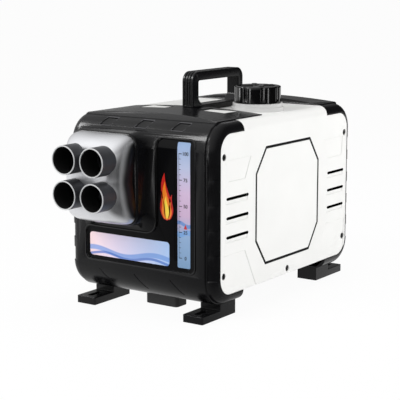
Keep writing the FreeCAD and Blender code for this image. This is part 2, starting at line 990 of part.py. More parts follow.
def tank_cradle():
    left = tank_left - gap - cradle_wall
    right = tank_right + gap + cradle_wall
    profile = [
        (left, base_top), (left + cradle_wall, base_top), (left + cradle_wall, tank_floor - cradle_floor),
        (right - cradle_wall, tank_floor - cradle_floor), (right - cradle_wall, base_top), (right, base_top),
        (right, tank_floor + cradle_lip), (right - cradle_wall, tank_floor + cradle_lip),
        (right - cradle_wall, tank_floor), (left + cradle_wall, tank_floor),
        (left + cradle_wall, tank_floor + cradle_lip), (left, tank_floor + cradle_lip),
    ]
    return prism("y", profile, 0, -cradle_front, cradle_rear).cut(
        rod("x", nipple_radius + gap, -outlet_nipple_y, outlet_nipple_z, left - overrun, tank_left))


cap_low = boss_top + run_gap
cap_top = cap_low + cap_height
gasket_low = neck_top + gap


def fuel_cap():
    body = rod("z", cap_radius, neck_x, neck_y, cap_low, cap_top)
    rim = [edge for edge in body.Edges if edge.BoundBox.ZMin > cap_top - fine]
    body = body.makeChamfer(cap_edge, rim)
    skirt = rod("z", neck_radius + run_gap, neck_x, neck_y, cap_low, gasket_low + gasket_thick)
    tools = [skirt]
    spread = cap_radius + flute_radius - flute_sink
    for index in range(flute_count):
        flute = rod("z", flute_radius, neck_x + spread, neck_y, cap_low + cap_wall, cap_top)
        tools.append(turned(flute, "z", neck_x, neck_y, index * 360 / flute_count))
    body = body.cut(tools)
    ribs = []
    for index in range(rib_count):
        rib = block(neck_x + cap_rib_start, neck_x + cap_rib_start + cap_rib_length,
                    neck_y - cap_rib_width / 2, neck_y + cap_rib_width / 2,
                    cap_top - cap_edge, cap_top + cap_rib_height)
        ribs.append(turned(rib, "z", neck_x, neck_y, (index + 1 / 2) * 360 / rib_count))
    return body.fuse(ribs)


def cap_gasket():
    return tube("z", neck_radius, neck_bore, neck_x, neck_y, gasket_low, gasket_low + gasket_thick)


# Gauge window, gauge scale, label and sticker on the recess floor
def gauge_window():
    points = corners(gauge_left + gap, gauge_left + gauge_width - gap, gauge_low + gap, gauge_high - gap)
    outer = -face_front + recess_depth + gauge_sink
    return prism("y", points, gauge_radius - gap, outer, outer + gauge_thick)


def recess_sheet(points, radius):
    """Thin sheet that lies on the recess floor and follows its curve."""
    tool = prism("y", points, radius, -face_front, -brow_back)
    return face_block(recess_depth - sheet, half_width).cut(face_block(recess_depth, half_width)).common(tool)


def gauge_scale():
    points = corners(scale_left, scale_left + scale_width, scale_low, scale_high)
    return recess_sheet(points, scale_radius)


def front_label():
    return recess_sheet(corners(label_left, label_right, label_low, label_high), label_radius)


def flame_sticker():
    floor = -face_front + recess_depth
    belly = flame_low + flame_belly_share * (flame_high - flame_low)
    bottom = Vec(flame_x, floor - sheet, flame_low)
    tip = Vec(flame_x, floor - sheet, flame_high)
    left = Part.Arc(bottom, Vec(flame_x - flame_width / 2, floor - sheet, belly), tip).toShape()
    right = Part.Arc(tip, Vec(flame_x + flame_width / 2, floor - sheet, belly), bottom).toShape()
    return Part.Face(Part.Wire([left, right])).extrude(Vec(0, sheet, 0))


# Heater: case halves, finned exchanger, burner, blower and rotor
def heater_case(up):
    whole = tube("y", case_radius, case_inner, outlet_x, outlet_z, -case_front, case_rear)
    split = outlet_z + gap / 2 if up else outlet_z - gap / 2
    end = outlet_z + case_radius if up else outlet_z - case_radius
    low = min(split, end)
    high = max(split, end)
    zone = block(outlet_x - case_radius, outlet_x + case_radius, -case_front, case_rear, low, high)
    half = whole.common(zone)
    if up:
        return half
    port = rod("z", hose_radius, pump_x, hose_rise_y, hose_port_z, hose_port_z + hose_port_length)
    inner = rod("y", case_inner, outlet_x, outlet_z, -case_front, case_rear)
    holes = [rod("z", port_radius + port_gap, outlet_x, y, 0, outlet_z) for y in (exhaust_y, intake_y)]
    return joined([half, port.cut(inner)]).cut(holes)


def port_boss_at(y, hollow_radius):
    boss = rod("z", port_boss, outlet_x, y, port_boss_low, outlet_z)
    return boss.cut(rod("y", hollow_radius, outlet_x, outlet_z, -half_length, half_length))


def heat_exchanger():
    parts = [rod("y", core_radius, outlet_x, outlet_z, -core_front, core_rear)]
    tip = case_inner - fin_gap
    for index in range(fin_count):
        fin = block(outlet_x + core_radius - core_wall, outlet_x + tip, -fin_front, fin_rear,
                    outlet_z - fin_thick / 2, outlet_z + fin_thick / 2)
        parts.append(turned(fin, "y", outlet_x, outlet_z, (index + 1 / 2) * 360 / fin_count))
    parts.append(port_boss_at(exhaust_y, core_radius - core_wall))
    body = joined(parts)
    bore = rod("y", core_radius - core_wall, outlet_x, outlet_z, -core_front + core_wall, core_rear)
    port = rod("z", port_radius - port_wall, outlet_x, exhaust_y, 0, outlet_z)
    plug = rod("z", plug_radius + gap, outlet_x, plug_y, outlet_z, outlet_z + case_inner)
    pipe = rod("z", port_radius + gap, outlet_x, exhaust_y, 0, port_boss_low)
    return body.cut([bore, port, plug, pipe])


def combustion_chamber():
    flange_radius = core_radius - core_wall - gap
    bore = chamber_radius - chamber_wall
    pipe = tube("y", chamber_radius, bore, outlet_x, outlet_z, -chamber_front, chamber_rear)
    flange_front = chamber_rear - chamber_flange
    flange = tube("y", flange_radius, bore, outlet_x, outlet_z, flange_front, chamber_rear)
    return joined([pipe, flange])


def glow_plug():
    stem = rod("z", plug_radius, outlet_x, plug_y, plug_low, plug_high)
    return stem.fuse(many_sided("z", plug_head_radius, outlet_x, plug_y, plug_head_low, plug_head_high))


def overheat_sensor():
    low = outlet_z + core_radius
    return block(outlet_x - sensor_width / 2, outlet_x + sensor_width / 2, sensor_y, sensor_y + sensor_length,
                 low, low + sensor_height)


def blower_motor():
    cup = tube("y", blower_radius, blower_radius - blower_wall, outlet_x, outlet_z, blower_front, blower_rear)
    back = rod("y", blower_radius, outlet_x, outlet_z, blower_rear - blower_wall, blower_rear)
    can = rod("y", motor_radius, outlet_x, outlet_z, blower_rear, motor_rear)
    parts = [cup, back, can, port_boss_at(intake_y, blower_radius - blower_wall)]
    for index in range(blower_tab_count):
        tab = block(outlet_x + blower_radius - blower_wall, outlet_x + case_inner - fin_gap,
                    blower_rear - blower_tab, blower_rear,
                    outlet_z - blower_tab / 2, outlet_z + blower_tab / 2)
        angle = (index + 1 / 4) * 360 / blower_tab_count
        parts.append(turned(tab, "y", outlet_x, outlet_z, angle))
    bore = rod("y", shaft_radius + shaft_gap, outlet_x, outlet_z, blower_front, motor_rear)
    port = rod("z", port_radius - port_wall, outlet_x, intake_y, 0, outlet_z)
    return joined(parts).cut([bore, port])


def motor_shaft():
    return rod("y", shaft_radius, outlet_x, outlet_z, shaft_front, shaft_rear)


def combustion_impeller():
    hub = rod("y", impeller_hub, outlet_x, outlet_z, impeller_front, impeller_rear)
    plate = rod("y", impeller_radius, outlet_x, outlet_z, impeller_rear - impeller_plate, impeller_rear)
    parts = [hub, plate]
    for index in range(impeller_vanes):
        vane = block(outlet_x + vane_start, outlet_x + impeller_radius - impeller_plate,
                     impeller_front, impeller_rear, outlet_z - vane_thick / 2, outlet_z + vane_thick / 2)
        parts.append(turned(vane, "y", outlet_x, outlet_z, index * 360 / impeller_vanes))
    return joined(parts).cut(rod("y", shaft_radius, outlet_x, outlet_z, shaft_front, shaft_rear))


def heating_fan():
    parts = [rod("y", fan_hub, outlet_x, outlet_z, fan_front, fan_rear)]
    middle = (fan_front + fan_rear) / 2
    half_chord = (fan_rear - fan_front) / 2 / math.cos(math.radians(blade_pitch_deg))
    for index in range(fan_blades):
        blade = block(outlet_x + fan_hub / 2, outlet_x + fan_radius - blade_thick,
                      middle - half_chord + blade_thick, middle + half_chord - blade_thick,
                      outlet_z - blade_thick / 2, outlet_z + blade_thick / 2)
        blade.rotate(Vec(outlet_x, middle, outlet_z), Vec(1, 0, 0), blade_pitch_deg)
        parts.append(turned(blade, "y", outlet_x, outlet_z, index * 360 / fan_blades))
    return joined(parts).cut(rod("y", shaft_radius, outlet_x, outlet_z, shaft_front, shaft_rear))


def control_unit():
    high = outlet_z + math.sqrt((case_inner - unit_fit) ** 2 - unit_half ** 2)
    return block(outlet_x - unit_half, outlet_x + unit_half, unit_front, unit_rear, unit_low, high)


def port_pipe(y):
    stub = rod("z", port_radius, outlet_x, y, port_end, base_level - gap)
    neck = rod("z", port_radius - port_step, outlet_x, y, port_end, port_boss_low)
    bore = rod("z", port_radius - port_wall, outlet_x, y, port_end, port_boss_low)
    return joined([stub, neck]).cut(bore)


def flange_gasket():
    low = min(exhaust_y, intake_y) - port_radius - gasket_margin
    high = max(exhaust_y, intake_y) + port_radius + gasket_margin
    reach = port_radius + gasket_margin
    plate = prism("z", corners(outlet_x - reach, outlet_x + reach, low, high), gasket_margin, base_top,
                  base_top + gasket_thick)
    return plate.cut([rod("z", port_radius + gap, outlet_x, y, 0, outlet_z) for y in (exhaust_y, intake_y)])


def heater_saddles():
    saddles = []
    cradle = rod("y", case_radius + gap, outlet_x, outlet_z, -half_length, half_length)
    for y in saddle_places:
        web = block(outlet_x - saddle_half, outlet_x + saddle_half, y, y + saddle_thick, base_top, saddle_top)
        shoe = block(outlet_x - saddle_half, outlet_x + saddle_half, y, y + saddle_foot, base_top,
                     base_top + saddle_foot_thick)
        saddles.append(joined([web.cut(cradle), shoe]))
    return Part.makeCompound(saddles)


def outlet_duct():
    outer = case_inner - gap
    return tube("y", outer, outer - case_wall, outlet_x, outlet_z, -hood_back + gap, -core_front - gap)


# Fuel pump on its clamp, fuel filter and hoses
def fuel_pump():
    body = rod("y", pump_radius, pump_x, pump_z, pump_front, pump_rear)
    tails = rod("y", nipple_radius, pump_x, pump_z, pump_front - nipple_length, pump_rear + nipple_length)
    return joined([body, tails])


def pump_clamp():
    outer = pump_radius + gap + clamp_wall
    ring = rod("y", outer, pump_x, pump_z, clamp_y, clamp_y + clamp_width)
    leg = block(pump_x - clamp_wall, pump_x + clamp_wall, clamp_y, clamp_y + clamp_width, base_top, pump_z)
    shoe = block(pump_x - outer, pump_x + outer, clamp_y, clamp_y + clamp_width,
                 base_top, base_top + clamp_wall)
    hole = rod("y", pump_radius + gap, pump_x, pump_z, clamp_y, clamp_y + clamp_width)
    return joined([ring, leg, shoe]).cut(hole)


def fuel_filter():
    body = rod("y", filter_radius, pump_x, pump_z, filter_front, filter_rear)
    tails = rod("y", nipple_radius, pump_x, pump_z, filter_front - nipple_length, filter_rear + nipple_length)
    return joined([body, tails])


def swept(points):
    """Hose through three points, with one bend."""
    back = (points[0] - points[1]).normalize()
    ahead = (points[2] - points[1]).normalize()
    half_angle = back.getAngle(ahead) / 2
    reach = hose_bend / math.tan(half_angle)
    middle = points[1] + (back + ahead).normalize() * (hose_bend / math.sin(half_angle) - hose_bend)
    entry = points[1] + back * reach
    leave = points[1] + ahead * reach
    edges = [
        Part.LineSegment(points[0], entry).toShape(),
        Part.Arc(entry, middle, leave).toShape(),
        Part.LineSegment(leave, points[2]).toShape(),
    ]
    aside = back.cross(ahead).normalize() * hose_radius
    inward = back.cross(aside).normalize() * hose_radius
    ring = []
    for index in range(hex_sides + 1):
        angle = index * 2 * math.pi / hex_sides
        ring.append(points[0] + aside * math.cos(angle) + inward * math.sin(angle))
    return Part.Wire(edges).makePipeShell([Part.makePolygon(ring)], True, False)


def fuel_hoses():
    tank_port = tank_left - nipple_length
    supply = swept([
        Vec(tank_port, -outlet_nipple_y, outlet_nipple_z),
        Vec(pump_x, -outlet_nipple_y, outlet_nipple_z),
        Vec(pump_x, filter_front - nipple_length, pump_z),
    ])
    link = many_sided("y", hose_radius, pump_x, pump_z, filter_rear + nipple_length,
                      pump_front - nipple_length)
    feed = swept([
        Vec(pump_x, pump_rear + nipple_length, pump_z),
        Vec(pump_x, hose_rise_y, pump_z),
        Vec(pump_x, hose_rise_y, hose_port_z),
    ])
    return Part.makeCompound([supply, link, feed])


# Control panel of the left side: bezel, display, buttons and board
bezel_face = -half_width - bezel_rise
ledge_back = -half_width + ledge
button_places = [(y, panel_z + side * button_z_offset) for y in button_y for side in (1, -1)]


def panel_rect(half_y, half_z, radius, start, end):
    points = corners(-half_y, half_y, panel_z - half_z, panel_z + half_z)
    return prism("x", points, radius, start, end)


def display_rect(margin, start, end):
    points = corners(display_y - display_half_y + margin, display_y + display_half_y - margin,
                     panel_z - display_half_z + margin, panel_z + display_half_z - margin)
    return prism("x", points, display_radius, start, end)


def panel_bezel():
    half_y = bezel_half_y - sleeve_margin
    half_z = bezel_half_z - sleeve_margin
    radius = bezel_radius - sleeve_margin
    plate = panel_rect(bezel_half_y, bezel_half_z, bezel_radius, bezel_face, -half_width)
    sleeve = panel_rect(half_y, half_z, radius, -half_width, -half_width + sleeve_depth)
    hollow = panel_rect(half_y - sleeve_wall, half_z - sleeve_wall, 0, ledge_back, -half_width + sleeve_depth)
    seat = bezel_face + display_thick
    tools = [hollow, display_rect(0, bezel_face, seat), display_rect(display_lip, bezel_face, ledge_back)]
    for y, z in button_places:
        tools.append(rod("x", button_radius + run_gap, y, z, bezel_face, ledge_back))
    return joined([plate, sleeve]).cut(tools)


def display_window():
    return display_rect(gap, bezel_face, bezel_face + display_thick)


def panel_button(y, z):
    face = bezel_face - button_rise
    key_back = ledge_back + run_gap
    key = rod("x", button_radius, y, z, face, key_back)
    dome = [edge for edge in key.Edges if edge.BoundBox.XMax < face + fine]
    key = key.makeChamfer(button_rise / 2, dome)
    flange = rod("x", button_radius + run_gap + button_flange, y, z, key_back, key_back + button_flange_thick)
    stem_end = -half_width + sleeve_depth - board_inset - board_thick - button_travel - run_gap
    stem = many_sided("x", button_stem, y, z, key_back, stem_end)
    return joined([key, flange, stem])


def panel_board():
    back = -half_width + sleeve_depth - board_inset
    half_y = bezel_half_y - sleeve_margin - sleeve_wall - gap
    half_z = bezel_half_z - sleeve_margin - sleeve_wall - gap
    return panel_rect(half_y, half_z, 0, back - board_thick, back)


# Rear: round air intake grille and the cable gland
def intake_grille():
    low = face_front - grille_thick
    parts = [tube("y", grille_radius, grille_radius - grille_rim, outlet_x, outlet_z, low, face_front)]
    for radius in grille_rings:
        outer = radius + grille_bar / 2
        parts.append(tube("y", outer, outer - grille_bar, outlet_x, outlet_z, low, face_front))
    for index in range(grille_spokes):
        spoke = block(outlet_x + grille_rings[0], outlet_x + grille_radius - grille_rim / 2, low, face_front,
                      outlet_z - grille_bar / 2, outlet_z + grille_bar / 2)
        parts.append(turned(spoke, "y", outlet_x, outlet_z, index * 360 / grille_spokes))
    return joined(parts)


def cable_gland():
    nut_low = face_front
    nut = rod("y", gland_nut_radius, gland_x, gland_z, nut_low, nut_low + gland_nut_thick)
    nose = rod("y", gland_radius, gland_x, gland_z, nut_low, nut_low + gland_reach)
    body = rod("y", gland_body, gland_x, gland_z, half_length - gland_tail, nut_low)
    bore = rod("y", gland_bore, gland_x, gland_z, half_length - gland_tail, nut_low + gland_reach)
    return joined([nut, nose, body]).cut(bore)


plain_shell = side_shell()
trim = octagon_ring(trim_gap, half_width - trim_depth, half_width - trim_sink)
right_foot = foot()

save("front_cover", front_cover())
save("rear_cover", rear_cover())
save("right_shell", right_shell(plain_shell))
save("left_shell", left_shell(plain_shell))
save("right_trim", trim)
save("left_trim", mirror_x(trim))
save("side_screws", side_screws())
save("base_plate", base_plate())
save("foot_front_right", right_foot)
save("foot_front_left", mirror_x(right_foot))
save("foot_rear_right", mirror_y(right_foot))
save("foot_rear_left", mirror_x(mirror_y(right_foot)))
save("foot_screws", foot_screws())
save("centre_foot", centre_foot())
save("outlet_hood", outlet_hood())
for number, (pipe_x, pipe_z) in enumerate(pipe_places, 1):
    save("outlet_pipe_" + str(number), outlet_pipe(pipe_x, pipe_z))
save("carry_handle", carry_handle())
save("handle_screws", handle_screws())
save("fuel_tank", fuel_tank())
save("tank_cradle", tank_cradle())
save("fuel_cap", fuel_cap())
save("cap_gasket", cap_gasket())
save("gauge_window", gauge_window())
save("gauge_scale", gauge_scale())
save("front_label", front_label())
save("flame_sticker", flame_sticker())
save("heater_upper_case", heater_case(True))
save("heater_lower_case", heater_case(False))
save("heat_exchanger", heat_exchanger())
save("combustion_chamber", combustion_chamber())
save("glow_plug", glow_plug())
save("overheat_sensor", overheat_sensor())
save("blower_motor", blower_motor())
save("motor_shaft", motor_shaft())
save("combustion_impeller", combustion_impeller())
save("heating_fan", heating_fan())
save("control_unit", control_unit())
save("exhaust_pipe", port_pipe(exhaust_y))
save("combustion_air_pipe", port_pipe(intake_y))
save("flange_gasket", flange_gasket())
save("heater_saddles", heater_saddles())
save("outlet_duct", outlet_duct())
save("fuel_pump", fuel_pump())
save("pump_clamp", pump_clamp())
save("fuel_filter", fuel_filter())
save("fuel_hoses", fuel_hoses())
save("panel_bezel", panel_bezel())
save("display_window", display_window())
save("panel_board", panel_board())
for name, (key_y, key_z) in zip(("power", "up", "down", "set"), button_places):
    save("button_" + name, panel_button(key_y, key_z))
save("intake_grille", intake_grille())
save("cable_gland", cable_gland())
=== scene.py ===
# %% [markdown]
# A portable parking heater: a charcoal box with white side shells, a silver hood with four
# hot-air pipes, a screw cap over the tank and a fuel gauge down the front. The solids arrive
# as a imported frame, and this lesson dresses them piece by piece.

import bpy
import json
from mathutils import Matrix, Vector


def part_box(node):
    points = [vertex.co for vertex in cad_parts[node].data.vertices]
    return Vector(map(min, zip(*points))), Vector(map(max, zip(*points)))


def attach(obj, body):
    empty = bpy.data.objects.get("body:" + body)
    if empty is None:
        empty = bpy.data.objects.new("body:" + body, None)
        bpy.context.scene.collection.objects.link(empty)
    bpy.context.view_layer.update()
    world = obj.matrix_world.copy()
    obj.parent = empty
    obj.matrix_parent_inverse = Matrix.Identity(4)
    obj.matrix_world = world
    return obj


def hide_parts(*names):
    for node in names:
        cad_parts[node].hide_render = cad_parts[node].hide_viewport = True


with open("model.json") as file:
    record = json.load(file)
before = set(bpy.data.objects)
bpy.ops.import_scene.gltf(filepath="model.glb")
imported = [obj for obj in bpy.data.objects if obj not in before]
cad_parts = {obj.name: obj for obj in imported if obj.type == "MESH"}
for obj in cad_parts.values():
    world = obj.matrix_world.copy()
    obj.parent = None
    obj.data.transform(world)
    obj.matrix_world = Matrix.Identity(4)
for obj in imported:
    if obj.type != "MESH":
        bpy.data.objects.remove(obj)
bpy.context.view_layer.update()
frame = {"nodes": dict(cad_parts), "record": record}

# %% [markdown]
# Every new surface here is a numpy array of points, so a few helpers are enough: one makes the
# faces of a grid, one puts the arrays into a mesh, and one reads the box of a solid, from which
# new pieces take their place and size. Lengths are millimetres until a mesh is made.

# %% Mesh helpers
import json
import math

import bmesh
import bpy
import numpy as np
from mathutils import Vector

MM = 0.001
SEAM_GAP = 1e-6


def box_mm(node):
    """Lowest and highest corner of a solid, in millimetres."""
    return [np.array(corner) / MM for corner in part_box(node)]


def circle(columns):
    """Even angles round a full turn. The last is left out, because it would repeat the first."""
    return np.linspace(0, 2 * np.pi, columns, endpoint=False)


def ramp(amount, length):
    """0 up to zero, then a straight rise to 1 over the length."""
    return np.clip(amount / length, 0, 1)


def grid_faces(rows, columns, wrap=False):
    """Four corners per cell of a grid of rows x columns points; wrap joins the last column to the first."""
    r, c = np.meshgrid(np.arange(rows - 1), np.arange(columns if wrap else columns - 1), indexing="ij")
    right = (c + 1) % columns
    corners = [r * columns + c, r * columns + right, (r + 1) * columns + right, (r + 1) * columns + c]
    return np.stack(corners, axis=-1).reshape(-1, 4)


def place_object(name, data):
    """New object at the origin that holds a mesh, curve, lamp or camera."""
    thing = bpy.data.objects.new(name, data)
    bpy.context.collection.objects.link(thing)
    return thing


def close_up(mesh):
    """Merges points that coincide at seams and poles, and turns all faces outwards."""
    work = bmesh.new()
    work.from_mesh(mesh)
    bmesh.ops.remove_doubles(work, verts=work.verts, dist=SEAM_GAP)
    bmesh.ops.recalc_face_normals(work, faces=work.faces)
    work.to_mesh(mesh)
    work.free()


def soften(mesh, degrees):
    """Smooth shading, with edges sharper than the angle kept crisp."""
    mesh.polygons.foreach_set("use_smooth", np.ones(len(mesh.polygons), dtype=bool))
    mesh.set_sharp_from_angle(angle=math.radians(degrees))


def make_piece(name, points_mm, faces, finishes, body="housing", face_finish=None, smooth_deg=35):
    """Object at the origin with closed seams, outward faces and one finish per face, riding on a body."""
    mesh = bpy.data.meshes.new(name)
    mesh.from_pydata((np.asarray(points_mm) * MM).tolist(), [], np.asarray(faces).tolist())
    for finish in finishes:
        mesh.materials.append(finish)
    if face_finish is not None:
        mesh.polygons.foreach_set("material_index", np.asarray(face_finish, dtype=np.int32))
    close_up(mesh)
    soften(mesh, smooth_deg)
    piece = place_object(name, mesh)
    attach(piece, body)
    return piece


print("front cover, low and high corner:", *[corner.round(1).tolist() for corner in box_mm("front_cover")])

# %% [markdown]
# Colours are written as the hex values that a screen shows, so one function undoes the sRGB
# curve. A second one adds a shader node with its settings and links, and all finishes use it.

# %% Colour and node helpers
def colour(code):
    """sRGB hex to linear: under 0.04045 divide by 12.92, else ((c + 0.055) / 1.055) to the power 2.4."""
    c = np.array([int(code[i:i + 2], 16) for i in (1, 3, 5)]) / 255
    linear = np.where(c <= 0.04045, c / 12.92, ((c + 0.055) / 1.055) ** 2.4)
    return (*linear.tolist(), 1.0)


def add(tree, kind, settings):
    """Adds a shader node. A key is a property or a socket, which takes a constant or a link to an output."""
    node = tree.nodes.new("ShaderNode" + kind)
    for key, value in settings.items():
        if isinstance(key, str) and hasattr(node, key) and key not in node.inputs:
            setattr(node, key, value)
        elif isinstance(value, bpy.types.NodeSocket):
            tree.links.new(value, node.inputs[key])
        else:
            node.inputs[key].default_value = value
    return node


print("mid grey in linear light:", round(colour("#808080")[0], 3))

# %% [markdown]
# Most finishes here come out of a mould: two near tones in soft patches keep a large face from
# looking dead, and the grain of the mould is a bump. An image could give the same, but noise on
# Object coordinates has no seams, and its scale is a real size in millimetres.

# %% Finish helpers
PATCH_MM = 60
ROUGH_LOW, ROUGH_HIGH = -0.05, 0.07


def start_finish(name, base, roughness, **sockets):
    """New material with its shader set to plain numbers, and the object coordinates for its patterns."""
    finish = bpy.data.materials.new(name)
    finish.use_nodes = True
    tree = finish.node_tree
    shader = tree.nodes["Principled BSDF"]
    shader.inputs["Base Color"].default_value = colour(base)
    shader.inputs["Roughness"].default_value = roughness
    for key, value in sockets.items():
        shader.inputs[key.replace("_", " ")].default_value = value
    place = add(tree, "TexCoord", {}).outputs["Object"]
    return finish, tree, shader, place


def grain(tree, shader, place, size_mm, depth_mm, edge_mm=0.0):
    """Bump from noise whose spots are size_mm across and depth_mm deep, over edges rounded by edge_mm."""
    noise = add(tree, "TexNoise", {"Scale": 1 / (size_mm * MM), "Detail": 2.0, "Vector": place})
    bump = add(tree, "Bump", {"Distance": depth_mm * MM, "Height": noise.outputs["Fac"]})
    if edge_mm:
        rounded = add(tree, "Bevel", {"samples": 8, "Radius": edge_mm * MM})
        tree.links.new(rounded.outputs["Normal"], bump.inputs["Normal"])
    tree.links.new(bump.outputs["Normal"], shader.inputs["Normal"])
    return noise


def moulded(name, dark, light, roughness, grain_mm, depth_mm, edge_mm=0.0, **sockets):
    """Two near tones in patches of PATCH_MM, a mould's grain, and a roughness that wanders with it."""
    finish, tree, shader, place = start_finish(name, light, roughness, **sockets)
    patches = add(tree, "TexNoise", {"Scale": 1 / (PATCH_MM * MM), "Detail": 4.0, "Vector": place})
    tone = add(tree, "Mix", {"data_type": "RGBA", 0: patches.outputs["Fac"],
                             6: colour(dark), 7: colour(light)})
    tree.links.new(tone.outputs[2], shader.inputs["Base Color"])
    spots = grain(tree, shader, place, grain_mm, depth_mm, edge_mm)
    rough = add(tree, "MapRange", {"Value": spots.outputs["Fac"], "To Min": roughness + ROUGH_LOW,
                                   "To Max": roughness + ROUGH_HIGH})
    tree.links.new(rough.outputs["Result"], shader.inputs["Roughness"])
    return finish


print("patches of", PATCH_MM, "mm")

# %% [markdown]
# The covers are ABS from a spark-etched mould, the shells are white ABS with a finer skin, and
# the cap is ABS from a polished mould. The etched grain is about half a millimetre on the real
# thing. It is drawn near one millimetre here, so that it shows.

# %% Plastic finishes
# Etched ABS: nearly black, with a soft sheen that spreads along the edges.
charcoal_abs = moulded("etched_charcoal_abs", "#0b0b0c", "#121214", 0.22, 0.9, 0.006, 1.5,
                       IOR=1.53, Specular_IOR_Level=0.18)
# White ABS: bright and even, with a faint satin gloss.
white_abs = moulded("satin_white_abs", "#eeeeec", "#f5f5f3", 0.32, 1.4, 0.008, 1.2, IOR=1.53)
# ABS from a polished mould: deep black with small, sharp highlights.
gloss_abs = moulded("polished_black_abs", "#040404", "#070708", 0.10, 3.0, 0.004,
                    IOR=1.53, Specular_IOR_Level=0.34)
# Unpainted grey ABS: one shade below the shells, so that the boss stands out from them.
grey_abs = moulded("pale_grey_abs", "#c9c9c8", "#d2d2d1", 0.3, 1.4, 0.006, 0.8, IOR=1.53)
# Floor of the label's field: smoother than the cover round it, and blacker as painted shade.
field_shade_abs = moulded("field_painted_shade_abs", "#050506", "#08080a", 0.12, 1.2, 0.003,
                    IOR=1.53, Specular_IOR_Level=0.10)
# Paler thin line on the black, for the outlines on the brow: painted highlight.
brow_line_highlight_abs = moulded("brow_line_painted_highlight", "#2b2b2e", "#38383c", 0.2, 1.2, 0.003, IOR=1.53)
# Matt black trim: swallows light, so that grooves read as lines. It is also laid on the walls of the shells'
# slots as painted shade.
trim_and_slot_shade_abs = moulded("black_trim_and_slot_shade", "#020203", "#040405", 0.5, 0.8, 0.01, IOR=1.5, Specular_IOR_Level=0.15)
# Moulded rubber: dull and slightly grey, with no clear reflection.
soft_rubber = moulded("moulded_black_rubber", "#121213", "#1b1b1c", 0.62, 0.8, 0.04, IOR=1.52)
# Blown polyethylene: waxy, with broad dull highlights.
tank_pe = moulded("black_polyethylene", "#0a0a0b", "#111112", 0.48, 2.0, 0.03, IOR=1.51)
# Solder resist on a circuit board: dark green and half glossy.
board_resin = moulded("green_circuit_board", "#0d3b1e", "#14502a", 0.38, 1.2, 0.02, IOR=1.55)
print("plastics ready")

# %% [markdown]
# The hood is silver paint. Its walls that face sideways fade to black, which is painted shade,
# as they turn away from the light. The pipes are gunmetal tube, brushed round as they were turned,
# and their mouths are cut bright. Flake and scratches are far finer than a pixel on the real thing,
# so both are drawn between half a millimetre and one.

# %% Metal finishes
FLAKE_MM = 0.7
# Limits of the painted shade on the hood's sideways walls, as the sideways part of the normal.
PAINT_ENDS, BARE_FROM = 0.75, 0.965
SCRATCH_MM, SCRATCH_LENGTH_MM, SCRATCH_DEPTH_MM = 0.5, 25, 0.02


def silver_with_side_shade():
    """Silver flake under a thin clear coat: a soft, bright sheen. Where the sideways part of the normal grows
    between the two limits above, colour and metal fade to black: painted shade on the walls that face
    sideways."""
    finish, tree, shader, place = start_finish("silver_with_side_shade", "#dcdde0", 0.34,
                                               Coat_Weight=0.15, Coat_Roughness=0.3)
    flake = add(tree, "TexVoronoi", {"Scale": 1 / (FLAKE_MM * MM), "Vector": place})
    tone = add(tree, "Mix", {"data_type": "RGBA", 0: flake.outputs["Distance"],
                             6: colour("#e6e7e9"), 7: colour("#d4d5d9")})
    surface = add(tree, "NewGeometry", {})
    normal = add(tree, "SeparateXYZ", {"Vector": surface.outputs["Normal"]})
    sideways = add(tree, "Math", {"operation": "ABSOLUTE", 0: normal.outputs["X"]})
    # Painted shade: walls whose normal turns sideways fade to black.
    side_shade = add(tree, "MapRange", {"interpolation_type": "SMOOTHSTEP", "From Min": PAINT_ENDS,
                                  "From Max": BARE_FROM, "Value": sideways.outputs[0]})
    paint = add(tree, "Mix", {"data_type": "RGBA", 0: side_shade.outputs["Result"],
                              6: tone.outputs[2], 7: colour("#0b0b0c")})
    metal = add(tree, "Math", {"operation": "SUBTRACT", 0: 1.0, 1: side_shade.outputs["Result"]})
    tree.links.new(paint.outputs[2], shader.inputs["Base Color"])
    tree.links.new(metal.outputs[0], shader.inputs["Metallic"])
    grain(tree, shader, place, 1.6, 0.006)
    return finish


def brushed(name, dark, light, roughness, metallic):
    """Metal whose fine scratches run round the Y axis: noise squeezed along Y, as tone and as bump."""
    finish, tree, shader, place = start_finish(name, light, roughness, Metallic=metallic)
    squeeze = (1 / SCRATCH_LENGTH_MM, 1 / SCRATCH_MM, 1 / SCRATCH_LENGTH_MM)
    stretch = add(tree, "Mapping", {"Scale": squeeze, "Vector": place})
    lines = add(tree, "TexNoise", {"Scale": 1 / MM, "Detail": 3.0, "Vector": stretch.outputs[0]})
    tone = add(tree, "Mix", {"data_type": "RGBA", 0: lines.outputs["Fac"], 6: colour(dark), 7: colour(light)})
    tree.links.new(tone.outputs[2], shader.inputs["Base Color"])
    bump = add(tree, "Bump", {"Strength": 0.5, "Distance": SCRATCH_DEPTH_MM * MM,
                              "Height": lines.outputs["Fac"]})
    tree.links.new(bump.outputs["Normal"], shader.inputs["Normal"])
    return finish


silver = silver_with_side_shade()
# Turned tube under a dark coat: grey, with a soft streak of light along each pipe.
gunmetal = brushed("turned_gunmetal_tube", "#414245", "#57585c", 0.42, 0.55)
# Cut steel: a thin pale ring at each mouth.
bright_rim = moulded("cut_bright_steel", "#c4c5c6", "#d2d3d4", 0.38, 2.0, 0.004, Metallic=0.35)
# Painted shade inside the tubes: dead black, so that the mouths look deep.
tube_inside_shade = moulded("tube_inside_painted_shade", "#060606", "#0c0c0c", 0.75, 1.0, 0.03)
# Zinc plate: cool grey, with bright streaks.
zinc_steel = brushed("zinc_plated_steel", "#8c8e91", "#a5a7aa", 0.33, 0.9)
# Blackened steel: black with small dull highlights, for screw heads and the base plate.
black_steel = moulded("blackened_steel", "#060607", "#0b0b0c", 0.35, 1.2, 0.02, Specular_IOR_Level=0.3)
# Sand-cast aluminium: pale and grainy, without clear reflections.
cast_alloy = moulded("sand_cast_aluminium", "#8f9193", "#a3a5a7", 0.45, 1.5, 0.08, Metallic=0.85)
print("metals ready")

